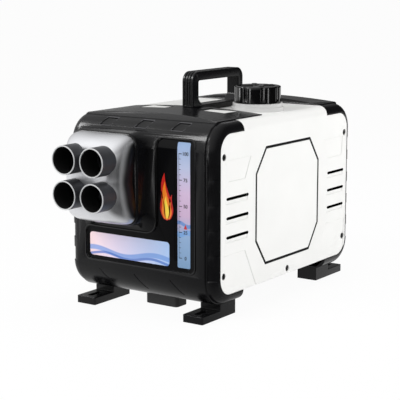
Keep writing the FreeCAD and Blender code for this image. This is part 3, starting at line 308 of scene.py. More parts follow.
# %% [markdown]
# Label and gauge are printed films: a wash from one colour to the next, with slow waves in blue.
# An image could carry the print. Here a colour ramp along one axis gives the wash, and a sine of X
# bends each wave, so that the print stays sharp at any distance.

# %% Printed films
WAVE_COVER, WAVE_SOLID = 0.8, 0.7


def wash(tree, place, stops, low_mm, high_mm, axis):
    """Colour ramp along one axis between two places."""
    parts = add(tree, "SeparateXYZ", {"Vector": place})
    along = add(tree, "MapRange", {"From Min": low_mm * MM, "From Max": high_mm * MM,
                                   "Value": parts.outputs[axis]})
    ramp_node = add(tree, "ValToRGB", {"Fac": along.outputs["Result"]})
    elements = ramp_node.color_ramp.elements
    while len(elements) < len(stops):
        elements.new(0.5)
    for element, (where, code) in zip(elements, stops):
        element.position = where
        element.color = colour(code)
    return parts, ramp_node.outputs["Color"]


def wave_band(tree, parts, under, code, centre, swing, length, width):
    """Lays one colour where |z - centre - swing * sin(2 pi x / length)| is under width, with a soft edge."""
    turn = add(tree, "Math", {"operation": "MULTIPLY", 0: parts.outputs["X"], 1: 2 * math.pi / (length * MM)})
    sine = add(tree, "Math", {"operation": "SINE", 0: turn.outputs[0]})
    lift = add(tree, "Math", {"operation": "MULTIPLY_ADD", 0: sine.outputs[0], 1: swing * MM, 2: centre * MM})
    off = add(tree, "Math", {"operation": "SUBTRACT", 0: parts.outputs["Z"], 1: lift.outputs[0]})
    away = add(tree, "Math", {"operation": "ABSOLUTE", 0: off.outputs[0]})
    mask = add(tree, "MapRange", {"From Min": width * MM, "From Max": width * MM * WAVE_SOLID,
                                  "To Max": WAVE_COVER, "Value": away.outputs[0]})
    laid = add(tree, "Mix", {"data_type": "RGBA", 0: mask.outputs[0], 6: under, 7: colour(code)})
    return laid.outputs[2]


def printed_film(name, base, roughness, stops, node, axis, waves):
    """Glossy film: a wash from end to end of the solid along one axis, and the waves over it in order."""
    finish, tree, shader, place = start_finish(name, base, roughness, IOR=1.5)
    low, high = (corner["XYZ".index(axis)] for corner in box_mm(node))
    parts, tint = wash(tree, place, stops, low, high, axis)
    for wave in waves:
        tint = wave_band(tree, parts, tint, *wave)
    tree.links.new(tint, shader.inputs["Base Color"])
    return finish


# A wave is its colour, then the height of its middle, its swing, its length and half its width.
LABEL_STOPS = [(0.0, "#f6d9dc"), (0.3, "#eadcf2"), (0.6, "#cfd4f4"), (1.0, "#a9c8f2")]
LABEL_WAVES = [("#6f9be0", 83.5, 4.0, 110.0, 4.2), ("#3f6fc4", 78.5, 3.0, 85.0, 2.2)]
GAUGE_STOPS = [(0.0, "#7799bd"), (0.25, "#8ba8cd"), (0.42, "#c6aac8"), (0.6, "#ccb4d2"), (0.8, "#b3bcd9"),
               (1.0, "#8ba6cc")]
GAUGE_WAVES = [("#4f86c8", 138.5, 2.5, 31.0, 3.2), ("#6fa0d8", 125.5, 2.0, 26.0, 4.5)]
# Rose through lavender to pale blue, from left to right.
label_film = printed_film("printed_label_film", "#d8c7e6", 0.24, LABEL_STOPS, "front_label", "X", LABEL_WAVES)
# Blue, rose and blue again, from the bottom up.
gauge_film = printed_film("printed_gauge_film", "#b9cdf0", 0.26, GAUGE_STOPS, "gauge_scale", "Z", GAUGE_WAVES)
print("films ready")

# %% [markdown]
# Screen-printed inks are flat and even, with little gloss. The sight strip beside the gauge and the
# lens of the display are tinted acrylic. They are drawn opaque, because nothing shows behind them.

# %% Inks and lenses
print_black = moulded("printed_black_ink", "#101012", "#17171a", 0.35, 0.8, 0.004)
print_red = moulded("printed_red_ink", "#b5160f", "#d02015", 0.32, 0.8, 0.004)
print_orange = moulded("printed_orange_ink", "#f0750f", "#fa8a1c", 0.32, 0.8, 0.004)
print_yellow = moulded("printed_yellow_ink", "#fbd12c", "#ffe04e", 0.32, 0.8, 0.004)
# Smoked acrylic: black and smooth, with a faint clear reflection.
smoked = moulded("smoked_sight_strip", "#020203", "#040405", 0.10, 2.0, 0.002,
                 IOR=1.49, Specular_IOR_Level=0.08)
# Display lens: blue black and glossy.
display_glass = moulded("dark_display_lens", "#06080a", "#0b0e11", 0.08, 2.0, 0.003, IOR=1.49)
print("inks and lenses ready")

# %% [markdown]
# Each solid of the frame takes the finish of its slot in the record, so that also the heater
# inside is dressed. Pieces that are seen are then replaced by softer copies or new surfaces.

# %% Finish of every solid
slot_finish = {
    "charcoal_plastic": charcoal_abs, "white_plastic": white_abs, "black_gloss": gloss_abs,
    "black_trim": trim_and_slot_shade_abs, "silver_paint": silver, "dark_metal": gunmetal, "steel": zinc_steel,
    "black_steel": black_steel, "tank_plastic": tank_pe, "rubber": soft_rubber, "label_film": label_film,
    "gauge_film": gauge_film, "flame_film": print_red, "smoked_clear": smoked, "cast_aluminium": cast_alloy,
    "board": board_resin, "display": display_glass,
}
node_slot = {entry["node"]: entry["material_slot"] for entry in frame["record"]["subparts"]}
for name, thing in frame["nodes"].items():
    thing.data.materials.clear()
    thing.data.materials.append(slot_finish[node_slot[name]])
print("solids dressed:", len(node_slot))

# %% [markdown]
# Moulded parts have no razor edges. A copy of the solid's mesh is merged, so that light flows over
# its curves. On the covers, large flat faces set the normals of their corners and the finish
# rounds the edges. The other pieces get a small bevel.

# %% Softened copies of the mouldings
MERGE_PLAIN, MERGE_BEVELLED = 2e-6, 1e-5
FLAT_DEG, EDGE_DEG = 0.5, 30
EDGES_MM = {"front_cover": 0, "rear_cover": 0, "right_shell": 0.25, "left_shell": 0.25, "carry_handle": 0.6,
            "foot_front_right": 0.8, "foot_front_left": 0.8, "foot_rear_right": 0.8, "foot_rear_left": 0.8,
            "centre_foot": 0.8, "panel_bezel": 0.4, "intake_grille": 0.4, "cable_gland": 0.4}


def softened(node, edge_mm):
    """Copy of a solid, merged and smooth up to an angle, with edges rounded by edge_mm where it has any."""
    mesh = frame["nodes"][node].data.copy()
    work = bmesh.new()
    work.from_mesh(mesh)
    bmesh.ops.remove_doubles(work, verts=work.verts, dist=MERGE_BEVELLED if edge_mm else MERGE_PLAIN)
    if edge_mm:
        bmesh.ops.dissolve_limit(work, angle_limit=math.radians(FLAT_DEG), verts=work.verts, edges=work.edges)
    work.to_mesh(mesh)
    work.free()
    soften(mesh, EDGE_DEG)
    piece = place_object("soft_" + node, mesh)
    if edge_mm:
        bevel = piece.modifiers.new("edge", "BEVEL")
        bevel.width = edge_mm * MM
        bevel.segments = 2
        bevel.limit_method = "ANGLE"
        bevel.angle_limit = math.radians(EDGE_DEG)
        bevel.harden_normals = True
    else:
        flow = piece.modifiers.new("flow", "WEIGHTED_NORMAL")
        flow.keep_sharp = True
    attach(piece, "housing")
    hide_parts(node)
    return piece


soft = {node: softened(node, edge_mm) for node, edge_mm in EDGES_MM.items()}
print("softened copies:", len(soft))

# %% [markdown]
# The walls of the white shells' slots are painted black, as the shade in which no light comes back
# out of them, and the boss under the cap is a shade greyer than the shell. Both are part of the
# shell's own mesh, so their faces are picked by where their centres lie, and take another finish.

# %% Painted shade in the slots, and the filler boss of the shells
cap_low, cap_high = box_mm("fuel_cap")
CAP_X, CAP_Y = ((cap_low + cap_high) / 2)[:2]
BOSS_R, BOSS_FROM = 40.2, 281.2
LOUVRE_LOW, LOUVRE_PITCH, LOUVRE_ROWS = 119.8, 27.5, 3
LOUVRE_HALF, LOUVRE_MARGIN = 2.6, 3.0
LOUVRE_ENDS, LOUVRE_BELOW_X = (109.5, 172.5), 129.2


def face_centres(mesh):
    """x, y and z of every face's centre, in millimetres."""
    centre = np.empty(len(mesh.polygons) * 3)
    mesh.polygons.foreach_get("center", centre)
    return centre.reshape(-1, 3).T / MM


def tint_shell(mesh):
    """Painted shade, black, where a face is sunk and close to a row's middle; grey where it is high and
    within the boss.
    """
    mesh.materials.append(trim_and_slot_shade_abs)
    mesh.materials.append(grey_abs)
    x, y, z = face_centres(mesh)
    height = z - LOUVRE_LOW
    off_row = np.abs((height + LOUVRE_PITCH / 2) % LOUVRE_PITCH - LOUVRE_PITCH / 2)
    rows = (height > -LOUVRE_MARGIN) & (height < (LOUVRE_ROWS - 1) * LOUVRE_PITCH + LOUVRE_MARGIN)
    along = (np.abs(y) > LOUVRE_ENDS[0]) & (np.abs(y) < LOUVRE_ENDS[1])
    # Slot walls take the black trim finish as painted shade.
    slot = (np.abs(x) < LOUVRE_BELOW_X) & along & rows & (off_row < LOUVRE_HALF)
    boss = (np.hypot(x - CAP_X, y - CAP_Y) < BOSS_R) & (z > BOSS_FROM)
    mesh.polygons.foreach_set("material_index", (slot + 2 * boss).astype(np.int32))
    return int(slot.sum()), int(boss.sum())


print("faces of slots and boss:", [tint_shell(soft[node].data) for node in ("right_shell", "left_shell")])

# %% [markdown]
# The hood is one pressed and blended form. Its rim is a rounded rectangle, its walls rise steeply
# and roll over into a broad front, and a shallow valley runs round the waist between the upper
# and the lower pipes. One formula for all of it keeps the reflections flowing without a seam.

# %% Surface of the outlet hood
hood_low, hood_high = box_mm("outlet_hood")
HOOD_X, HOOD_BACK, HOOD_Z = (hood_low[0] + hood_high[0]) / 2, hood_high[1], (hood_low[2] + hood_high[2]) / 2
HOOD_HALF_X, HOOD_DEPTH, HOOD_HALF_Z = (hood_high - hood_low) * [0.5, 1, 0.5]
HOOD_SQUARE, HOOD_SHOULDER, ROLL_SHARE = 7.0, 24.0, 0.8
HOOD_ROLL, CORNER_SOFTER, CORNER_FULL = 2.5, 0.8, 0.75
HOOD_WAIST, HOOD_DIP, WAIST_BELL = 5.5, 0.825, 26.0
WAIST_AT_RIM, DIP_AT_RIM = 0.75, 0.6


def rounded_rectangle(angle, half_u, half_v, power):
    """Superellipse: |u/a|^n + |v/b|^n = 1 at each angle, so a larger power gives squarer corners."""
    c, s = np.cos(angle), np.sin(angle)
    reach = (np.abs(c / half_u) ** power + np.abs(s / half_v) ** power) ** (-1 / power)
    return reach * c, reach * s


def hood_surface(rows=64, columns=240):
    """Rings from the rim to the front centre. Each ring is a superellipse, and its way forward is a quarter
    superellipse too: steep at the sides and softer over the corners. A bell curve of the height draws the
    walls in between the upper and the lower pipes, and a weaker one of the width draws in top and bottom."""
    t = np.linspace(0, 1, rows)[:, None]
    u, v = rounded_rectangle(circle(columns)[None, :], HOOD_HALF_X, HOOD_HALF_Z, HOOD_SQUARE)
    turn = ramp(t, ROLL_SHARE) * np.pi / 2
    corner = ramp(np.abs(u / HOOD_HALF_X * v / HOOD_HALF_Z), CORNER_FULL)
    roll = HOOD_ROLL - CORNER_SOFTER * corner
    inset = HOOD_SHOULDER * (1 - np.cos(turn) ** (2 / roll))
    rise = HOOD_DEPTH * np.sin(turn) ** (2 / roll)
    inner = 1 - ramp(t - ROLL_SHARE, 1 - ROLL_SHARE)
    waist = HOOD_WAIST * (WAIST_AT_RIM + (1 - WAIST_AT_RIM) * np.sin(turn)) * np.exp(-(v / WAIST_BELL) ** 2)
    dip = HOOD_DIP * (DIP_AT_RIM + (1 - DIP_AT_RIM) * np.sin(turn)) * np.exp(-(u / WAIST_BELL) ** 2)
    across = u * (1 - (inset + waist) / HOOD_HALF_X) * inner
    upward = v * (1 - (inset + dip) / HOOD_HALF_Z) * inner
    points = [HOOD_X + across, HOOD_BACK - rise, HOOD_Z + upward]
    return np.stack(points, axis=-1).reshape(-1, 3), grid_faces(rows, columns, wrap=True)


hood_points, hood_faces = hood_surface()
hood = make_piece("hood_shell", hood_points, hood_faces, [silver])
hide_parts("outlet_hood")
print("hood points:", len(hood.data.vertices))

# %% [markdown]
# The pipes stand in round seats in the hood. The surface first gets the thickness of its wall, and
# four drums then cut the seats for good. A boolean is the right tool here, because each round edge
# crosses the blended front at a changing angle.

# %% Seats of the pipes in the hood
HOOD_WALL, SEAT_GAP, SEAT_FRONT, SEAT_BACK = 2.4, 0.1, -290.0, -222.5
pipe_boxes = [box_mm("outlet_pipe_%d" % number) for number in (1, 2, 3, 4)]
PIPES = [((low + high) / 2)[[0, 2]] for low, high in pipe_boxes]
PIPE_MOUTH, PIPE_BACK = pipe_boxes[0][0][1], pipe_boxes[0][1][1]
PIPE_R = (pipe_boxes[0][1][2] - pipe_boxes[0][0][2]) / 2


def drum(name, radius, x, z, sides=96):
    """Plain closed cylinder along Y, used only as a cutter."""
    angle = circle(sides)
    ring = np.stack([x + radius * np.cos(angle), np.zeros(sides), z + radius * np.sin(angle)], axis=-1)
    points = np.concatenate([ring + [0, SEAT_FRONT, 0], ring + [0, SEAT_BACK, 0]])
    faces = grid_faces(2, sides, wrap=True).tolist() + [list(range(sides)), list(range(sides, 2 * sides))]
    mesh = bpy.data.meshes.new(name)
    mesh.from_pydata((points * MM).tolist(), [], faces)
    close_up(mesh)
    return place_object(name, mesh)


def cut_away(piece, cutters, smooth_deg):
    """Subtracts the cutters from the piece for good and removes them."""
    for cutter in cutters:
        step = piece.modifiers.new("cut", "BOOLEAN")
        step.operation = "DIFFERENCE"
        step.solver = "EXACT"
        step.object = cutter
    ready = bpy.data.meshes.new_from_object(piece.evaluated_get(bpy.context.evaluated_depsgraph_get()))
    piece.modifiers.clear()
    piece.data = ready
    for cutter in cutters:
        bpy.data.objects.remove(cutter)
    soften(ready, smooth_deg)


wall = hood.modifiers.new("wall", "SOLIDIFY")
wall.thickness = HOOD_WALL * MM
wall.offset = -1
bpy.context.view_layer.update()
cut_away(hood, [drum("cut_%d" % i, PIPE_R + SEAT_GAP, x, z) for i, (x, z) in enumerate(PIPES)], 40)
print("hood points with its seats:", len(hood.data.vertices))

# %% [markdown]
# A pipe is a lathe profile turned about its axis: outside wall, a rolled bright lip at the mouth
# and an inside painted black as shade. One profile serves all four, moved to each centre.

# %% Outlet pipes
PIPE_WALL, PIPE_MIDDLE, LIP_FROM, PIPE_COLUMNS = 2.0, -262.0, 2.2, 96


def turned(profile, columns, centre):
    """Each profile point (radius, place along Y) swept round a centre: (x + r cos a, along, z + r sin a)."""
    angle = circle(columns)[None, :]
    radius, along = np.asarray(profile).T[:, :, None]
    points = [centre[0] + radius * np.cos(angle), along + 0 * angle, centre[1] + radius * np.sin(angle)]
    return np.stack(points, axis=-1).reshape(-1, 3), grid_faces(len(profile), columns, wrap=True)


half_turn, lip_r = np.linspace(0, np.pi, 9), PIPE_WALL / 2
mouth_radius = PIPE_R - lip_r + lip_r * np.cos(half_turn)
mouth = np.stack([mouth_radius, PIPE_MOUTH + lip_r - lip_r * np.sin(half_turn)], axis=-1)
outer_wall = [[PIPE_R, PIPE_BACK], [PIPE_R, PIPE_MIDDLE], [PIPE_R, PIPE_MOUTH + LIP_FROM]]
inner_wall = [[PIPE_R - PIPE_WALL, PIPE_MIDDLE], [PIPE_R - PIPE_WALL, PIPE_BACK], [PIPE_R, PIPE_BACK]]
pipe_profile = np.concatenate([outer_wall, mouth, inner_wall])
band_finish = [0] * len(outer_wall) + [1] * (len(mouth) - 1) + [2] * len(inner_wall)
for number, centre in enumerate(PIPES, 1):
    points, faces = turned(pipe_profile, PIPE_COLUMNS, centre)
    pipe = make_piece("pipe_%d" % number, points, faces, [gunmetal, bright_rim, tube_inside_shade],
                      face_finish=np.repeat(band_finish, PIPE_COLUMNS))
    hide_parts("outlet_pipe_%d" % number)
print("pipe profile points:", len(pipe_profile))

# %% [markdown]
# The cap is turned too, but its radius changes with the angle: eight narrow flutes for the
# fingers. On the flat top, four raised ribs point outwards. It is hollow, to go over the neck.

# %% Fuel cap
CAP_RIB, CAP_INSIDE_R, CAP_FOOT, CAP_ROUND = 1.6, 27.4, 0.6, 2.2
CAP_LOW, CAP_TOP, CAP_R = cap_low[2], cap_high[2] - CAP_RIB, (cap_high[0] - cap_low[0]) / 2
CAP_INSIDE_TOP = box_mm("cap_gasket")[1][2]
FLUTE_DEPTH, FLUTE_WIDTH, FLUTE_FROM, FLUTE_INNER = 2.4, 0.075, 2.2, 28.0
FLUTE_START, FLUTE_FADE = 1.5, 4.0
RIB_HALF, RIB_FROM, RIB_TO, RIB_SIDE, RIB_END = 4.2, 7.5, 26.0, 0.9, 1.5


def cap_profile():
    """Radius and height of each ring: from the inner pole down the bore, up the outside, to the top pole."""
    inside = [[0.0, CAP_INSIDE_TOP], [CAP_INSIDE_R, CAP_INSIDE_TOP], [CAP_INSIDE_R, CAP_LOW]]
    foot = [[CAP_R - CAP_FOOT, CAP_LOW]] + [[CAP_R, CAP_LOW + rise] for rise in (CAP_FOOT, FLUTE_FROM, 3.0)]
    side_height = np.linspace(CAP_LOW + 5, CAP_TOP - CAP_ROUND, 6)
    side = np.stack([np.full(6, CAP_R), side_height], axis=-1)
    turn = np.linspace(0, np.pi / 2, 7)[1:-1]
    edge = [CAP_R, CAP_TOP] + CAP_ROUND * (np.stack([np.cos(turn), np.sin(turn)], axis=-1) - 1)
    top_radius = np.concatenate([[CAP_R - CAP_ROUND], np.linspace(31, 1, 31), [0.0]])
    top = np.stack([top_radius, np.full(len(top_radius), CAP_TOP)], axis=-1)
    return np.concatenate([inside, foot, side, edge, top])


def fluted_cap(columns=288):
    """Lathe whose outer radius loses FLUTE_DEPTH in eight narrow bell curves of the angle. Its top gains four
    ribs: a smooth step across their width and at both of their ends."""
    angle = circle(columns)[None, :]
    profile = cap_profile()
    radius, height = profile.T[:, :, None]
    beat = (angle + np.pi / 8) % (np.pi / 4) - np.pi / 8
    flute = FLUTE_DEPTH * np.exp(-(beat / FLUTE_WIDTH) ** 2)
    outside = ramp(height - CAP_LOW - FLUTE_FROM, FLUTE_START) * ramp(radius - FLUTE_INNER, FLUTE_FADE)
    radius = radius - flute * outside
    quarter = angle % (np.pi / 2) - np.pi / 4
    across = np.abs(radius * np.sin(quarter))
    along = ramp(radius - RIB_FROM, RIB_END) * ramp(RIB_TO - radius, RIB_END)
    rib = ramp(RIB_HALF - across, RIB_SIDE) * along
    on_top = height > CAP_TOP - 0.01
    height = height + CAP_RIB * rib * rib * (3 - 2 * rib) * on_top
    points = [CAP_X + radius * np.cos(angle), CAP_Y + radius * np.sin(angle), height + 0 * angle]
    return np.stack(points, axis=-1).reshape(-1, 3), grid_faces(len(profile), columns, wrap=True)


cap_points, cap_faces = fluted_cap()
cap = make_piece("fluted_cap", cap_points, cap_faces, [gloss_abs], body="cap", smooth_deg=42)
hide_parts("fuel_cap")
print("height of the cap:", round(cap_points[:, 2].max() - CAP_LOW, 1), "mm")

# %% [markdown]
# A moulded lip runs round the sunk field of the label and the gauge, and three thin outlines mark
# the brow above it. Each path is an outline with rounded corners, and a small circle is swept
# along it. Towards the brow the path leans back with the front, which curves there.

# %% Lip of the sunk field and outlines on the brow
FIELD_SIDE, FIELD_LOW, FIELD_HIGH, STEP_X, STEP_Z = 97.0, 70.0, 257.0, 32.0, 119.0
FIELD = np.array([[-FIELD_SIDE, FIELD_LOW], [FIELD_SIDE, FIELD_LOW], [FIELD_SIDE, FIELD_HIGH],
                  [STEP_X, FIELD_HIGH], [STEP_X, STEP_Z], [-FIELD_SIDE, STEP_Z]])
FIELD_BENDS, FIELD_LIP_R = [9, 9, 9, 9, 22, 9], 1.25
BROW_MARK, BROW_PITCH = np.array([[-13.5, 268.5], [6.5, 268.5], [13.5, 278], [-6.5, 278]]), 64.0
BROW_BENDS, BROW_LINE_R = [1.5] * 4, 0.55
FACE, BEND_FROM, BEND_R = -198.0, 241.0, 42.0
LIP_FLATNESS = 0.8


def lean_back(z):
    """How far the front has curved back at a height: the rise of an arc of radius BEND_R above BEND_FROM."""
    return BEND_R - np.sqrt(BEND_R ** 2 - np.clip(z - BEND_FROM, 0, BEND_R) ** 2)


def rounded_path(corners, lengths, steps=12):
    """Each corner becomes a parabola, from a length before it to the same length after it."""
    before, after = np.roll(corners, 1, axis=0) - corners, np.roll(corners, -1, axis=0) - corners
    before /= np.linalg.norm(before, axis=1)[:, None]
    after /= np.linalg.norm(after, axis=1)[:, None]
    lengths = np.asarray(lengths, dtype=float)[:, None]
    start, end = (corners + before * lengths)[:, None], (corners + after * lengths)[:, None]
    share = np.linspace(0, 1, steps)[None, :, None]
    arcs = (1 - share) ** 2 * start + 2 * share * (1 - share) * corners[:, None] + share ** 2 * end
    return arcs.reshape(-1, 2)


def swept_lip(path, radius, columns=12):
    """Flattened circle round each path point, in the plane of the front's and the path's outward normal."""
    ahead = np.roll(path, -1, axis=0) - np.roll(path, 1, axis=0)
    out = np.stack([ahead[:, 1], -ahead[:, 0]], axis=1)
    out /= np.linalg.norm(out, axis=1)[:, None]
    turn = circle(columns)[None, :]
    x = path[:, :1] + out[:, :1] * radius * (1 + np.cos(turn))
    z = path[:, 1:] + out[:, 1:] * radius * (1 + np.cos(turn))
    y = FACE + lean_back(z) - LIP_FLATNESS * radius * np.sin(turn)
    rings = np.stack([x, y, z], axis=-1)
    rings = np.concatenate([rings, rings[:1]])
    return rings.reshape(-1, 3), grid_faces(len(rings), columns, wrap=True)


outlines = [("field_lip", rounded_path(FIELD, FIELD_BENDS), FIELD_LIP_R, gloss_abs)]
# The outlines on the brow take a paler finish as painted highlight.
for number in (1, 2, 3):
    mark = rounded_path(BROW_MARK + [(number - 2) * BROW_PITCH, 0], BROW_BENDS)
    outlines.append(("brow_mark_%d" % number, mark, BROW_LINE_R, brow_line_highlight_abs))
for name, path, radius, finish in outlines:
    points, faces = swept_lip(path, radius)
    make_piece(name, points, faces, [finish], smooth_deg=60)
print("outlines:", [outline[0] for outline in outlines])

# %% [markdown]
# The floor of the field is smoother than the grained cover, and painted blacker as shade in the
# sunk field. It is part of the cover's own mesh, so its faces are picked by place and by depth below the
# curved front.

# %% Painted shade on the floor of the sunk field
FIELD_SUNK_FROM, FIELD_SUNK_TO = 0.2, 3.7


def darken_field(mesh):
    """The smoother finish with painted shade where a face centre lies inside the L of the field and is sunk
    below the front.
    """
    mesh.materials.append(field_shade_abs)
    x, y, z = face_centres(mesh)
    sunk = y - FACE - lean_back(z)
    inside = (np.abs(x) < FIELD_SIDE) & (z > FIELD_LOW) & (z < FIELD_HIGH) & ((z < STEP_Z) | (x > STEP_X))
    field = inside & (sunk > FIELD_SUNK_FROM) & (sunk < FIELD_SUNK_TO)
    mesh.polygons.foreach_set("material_index", field.astype(np.int32))
    return int(field.sum())


print("faces of the sunk field:", darken_field(soft["front_cover"].data))

# %% [markdown]
# The gauge scale has plain printed marks: a long line at each quarter, short lines between, and a
# small red pointer for the reserve. They are thin plates on the film, so that they stay crisp from
# any distance. The pointer is such a plate too, with two of its corners in one place.

# %% Gauge marks
GAUGE_LOW, GAUGE_HIGH, SCALE_FACE = 90.0, 238.0, box_mm("gauge_scale")[0][1]
TICKS, TICKS_PER_FIGURE, TICK_X = 21, 5, 69.6
# A tick is its length and half its thickness.
LONG_TICK, SHORT_TICK = (5.0, 0.55), (3.2, 0.35)
MARK_PROUD, PLATE_SINK = 0.12, 0.05
PLATE_FACES = np.array([[0, 1, 2, 3], [4, 7, 6, 5], [0, 4, 5, 1], [1, 5, 6, 2], [2, 6, 7, 3], [3, 7, 4, 0]])
POINTER = np.array([[[77.6, 132.0], [83.6, 132.0], [80.6, 139.0], [80.6, 139.0]]])


def box_corners(boxes):
    """Four corners (u, v) of each row of u low, u high, v low, v high."""
    return np.asarray(boxes, dtype=float)[:, [[0, 2], [1, 2], [1, 3], [0, 3]]]


def plates(corners, face, proud, axis):
    """Thin plates from rows of four corners: the front stands proud of a face and the back is just inside it.
    Axis 1 faces the front, with u as x and v as z, and axis 0 faces the left, with u as y and v as z."""
    layers = [np.insert(corners, axis, face + lift, axis=2) for lift in (-proud, PLATE_SINK)]
    faces = PLATE_FACES + 8 * np.arange(len(corners))[:, None, None]
    return np.concatenate(layers, axis=1).reshape(-1, 3), faces.reshape(-1, 4)


height = np.linspace(GAUGE_LOW, GAUGE_HIGH, TICKS)
at_figure = np.arange(TICKS) % TICKS_PER_FIGURE == 0
reach, thick = np.where(at_figure[:, None], LONG_TICK, SHORT_TICK).T
ticks = np.stack([np.full(TICKS, TICK_X), TICK_X + reach, height - thick, height + thick], axis=-1)
spine = [[TICK_X - 0.4, TICK_X + 0.2, GAUGE_LOW - 0.5, GAUGE_HIGH + 0.5]]
points, faces = plates(box_corners(np.concatenate([ticks, spine])), SCALE_FACE, MARK_PROUD, 1)
make_piece("gauge_marks", points, faces, [print_black])
points, faces = plates(POINTER, SCALE_FACE, MARK_PROUD, 1)
make_piece("reserve_pointer", points, faces, [print_red])
print("gauge marks:", TICKS)

# %% [markdown]
# A plain number stands beside each long line. Blender's text object draws the figure, and its mesh
# is laid flat on the film, so that the piece itself stays at the origin.

# %% Gauge figures
FIGURES, FIGURE_X, FIGURE_SIZE = ("0", "25", "50", "75", "100"), 80.6, 7.0
FIGURE_THICK, FIGURE_BOLD = 0.06, 0.16


def figure(text, x, z):
    """Number as a thin mesh that faces the front, with its middle at x and z."""
    curve = bpy.data.curves.new("figure_" + text, "FONT")
    curve.body = text
    curve.size = FIGURE_SIZE * MM
    curve.align_x, curve.align_y = "CENTER", "CENTER"
    curve.extrude = FIGURE_THICK * MM
    curve.offset = FIGURE_BOLD * MM
    maker = place_object("maker", curve)
    bpy.context.view_layer.update()
    mesh = bpy.data.meshes.new_from_object(maker.evaluated_get(bpy.context.evaluated_depsgraph_get()))
    bpy.data.objects.remove(maker)
    flat = np.empty(len(mesh.vertices) * 3)
    mesh.vertices.foreach_get("co", flat)
    across, upward, thickness = flat.reshape(-1, 3).T
    placed = np.stack([across + x * MM, SCALE_FACE * MM - thickness, upward + z * MM], axis=-1)
    mesh.vertices.foreach_set("co", placed.ravel())
    mesh.materials.clear()
    mesh.materials.append(print_black)
    mesh.update()
    piece = place_object("figure_" + text, mesh)
    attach(piece, "housing")


for text, z in zip(FIGURES, np.linspace(GAUGE_LOW, GAUGE_HIGH, len(FIGURES))):
    figure(text, FIGURE_X, z)
print("figures:", FIGURES)

# %% [markdown]
# The sticker beside the gauge is a plain warm flame in three layers of ink. A tongue is a width
# that swells and tapers along the height, and a slow sine sways it to one side. Each layer stands a
# little prouder than the one below, as ink on ink does.

# %% Flame sticker
FLAME_FACE = box_mm("flame_sticker")[1][1]
TONGUE_TIP, TONGUE_FOOT, SWAY_AT_FOOT = 0.02, 0.004, 0.3
RED_PROUD, ORANGE_PROUD, YELLOW_PROUD = 0.30, 0.38, 0.46
# A tongue is its low and high end, the x of both, half its width, its sway and the power of its swelling.
RED_TONGUES = [(141.5, 209.0, 48.5, 44.5, 7.6, 2.4, 0.5), (142.5, 184.0, 44.5, 38.2, 4.4, -1.6, 0.6),
               (142.5, 179.0, 52.5, 57.4, 4.2, 1.6, 0.6)]
ORANGE_TONGUES = [(142.5, 197.0, 48.6, 45.6, 5.4, 2.0, 0.5), (143.5, 173.0, 45.0, 39.8, 2.8, -1.2, 0.6),
                  (143.5, 168.5, 52.2, 55.8, 2.6, 1.2, 0.6)]
YELLOW_TONGUES = [(144.0, 176.0, 48.8, 47.4, 3.2, 1.2, 0.55)]


def tongue(low, high, x_low, x_high, half_width, sway, belly, rows=48):
    """One tongue: width swells as t^belly (1 - t), centre runs from x_low to x_high and sways by a sine."""
    t = np.linspace(0, 1, rows)
    width = (t + TONGUE_FOOT) ** belly * (1 - t)
    width = half_width * width / width.max() + TONGUE_TIP
    middle = x_low + (x_high - x_low) * t + sway * np.sin(2 * np.pi * t) * (SWAY_AT_FOOT + t)
    return middle - width, middle + width, low + (high - low) * t


def flame_layer(name, finish, tongues, proud):
    """Flat plates of one ink: each tongue is a strip closed front, back, on both sides and at both ends."""
    points, faces, start = [], [], 0
    for shape in tongues:
        left, right, height = tongue(*shape)
        rows = len(height)
        across = np.stack([left, right, right, left], axis=1)
        depth = np.array([-proud, -proud, PLATE_SINK, PLATE_SINK]) + FLAME_FACE
        strip = np.stack([across, depth + 0 * across, height[:, None] + 0 * across], axis=-1)
        ends = np.arange(4) + [[0], [4 * rows - 4]]
        points.append(strip.reshape(-1, 3))
        faces.append(np.concatenate([grid_faces(rows, 4, wrap=True), ends]) + start)
        start += 4 * rows
    return make_piece(name, np.concatenate(points), np.concatenate(faces), [finish])


red = flame_layer("flame_red", print_red, RED_TONGUES, RED_PROUD)
flame_layer("flame_orange", print_orange, ORANGE_TONGUES, ORANGE_PROUD)
flame_layer("flame_yellow", print_yellow, YELLOW_TONGUES, YELLOW_PROUD)
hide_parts("flame_sticker")
print("tongues of the flame:", len(RED_TONGUES + ORANGE_TONGUES + YELLOW_TONGUES))

# %% [markdown]
# Each key of the panel carries one plain sign in white ink: a ring with a bar, a plus, a minus and
# a square. The signs are thin plates on the key's face and ride with the key.

# %% Signs on the keys
SIGN_PROUD, RING_R, RING_WIDTH = 0.1, 2.2, 0.55
# White ink: soft and slightly grey, so that it doesn't glare on the dark panel.
white_ink = moulded("printed_white_ink", "#d9dadb", "#e6e7e8", 0.4, 0.8, 0.004)


def sign_ring(face, y, z, columns=40):
    """Flat ring: four profile corners swept round the key's axis."""
    turn = circle(columns)[:, None]
    across = np.array([RING_R, RING_R, RING_R - RING_WIDTH, RING_R - RING_WIDTH])[None, :]
    depth = np.array([PLATE_SINK, -SIGN_PROUD, -SIGN_PROUD, PLATE_SINK])[None, :] + face
    ring = np.stack([depth + 0 * turn, y + across * np.cos(turn), z + across * np.sin(turn)], axis=-1)
    ring = np.concatenate([ring, ring[:1]])
    return ring.reshape(-1, 3), grid_faces(columns + 1, 4, wrap=True)


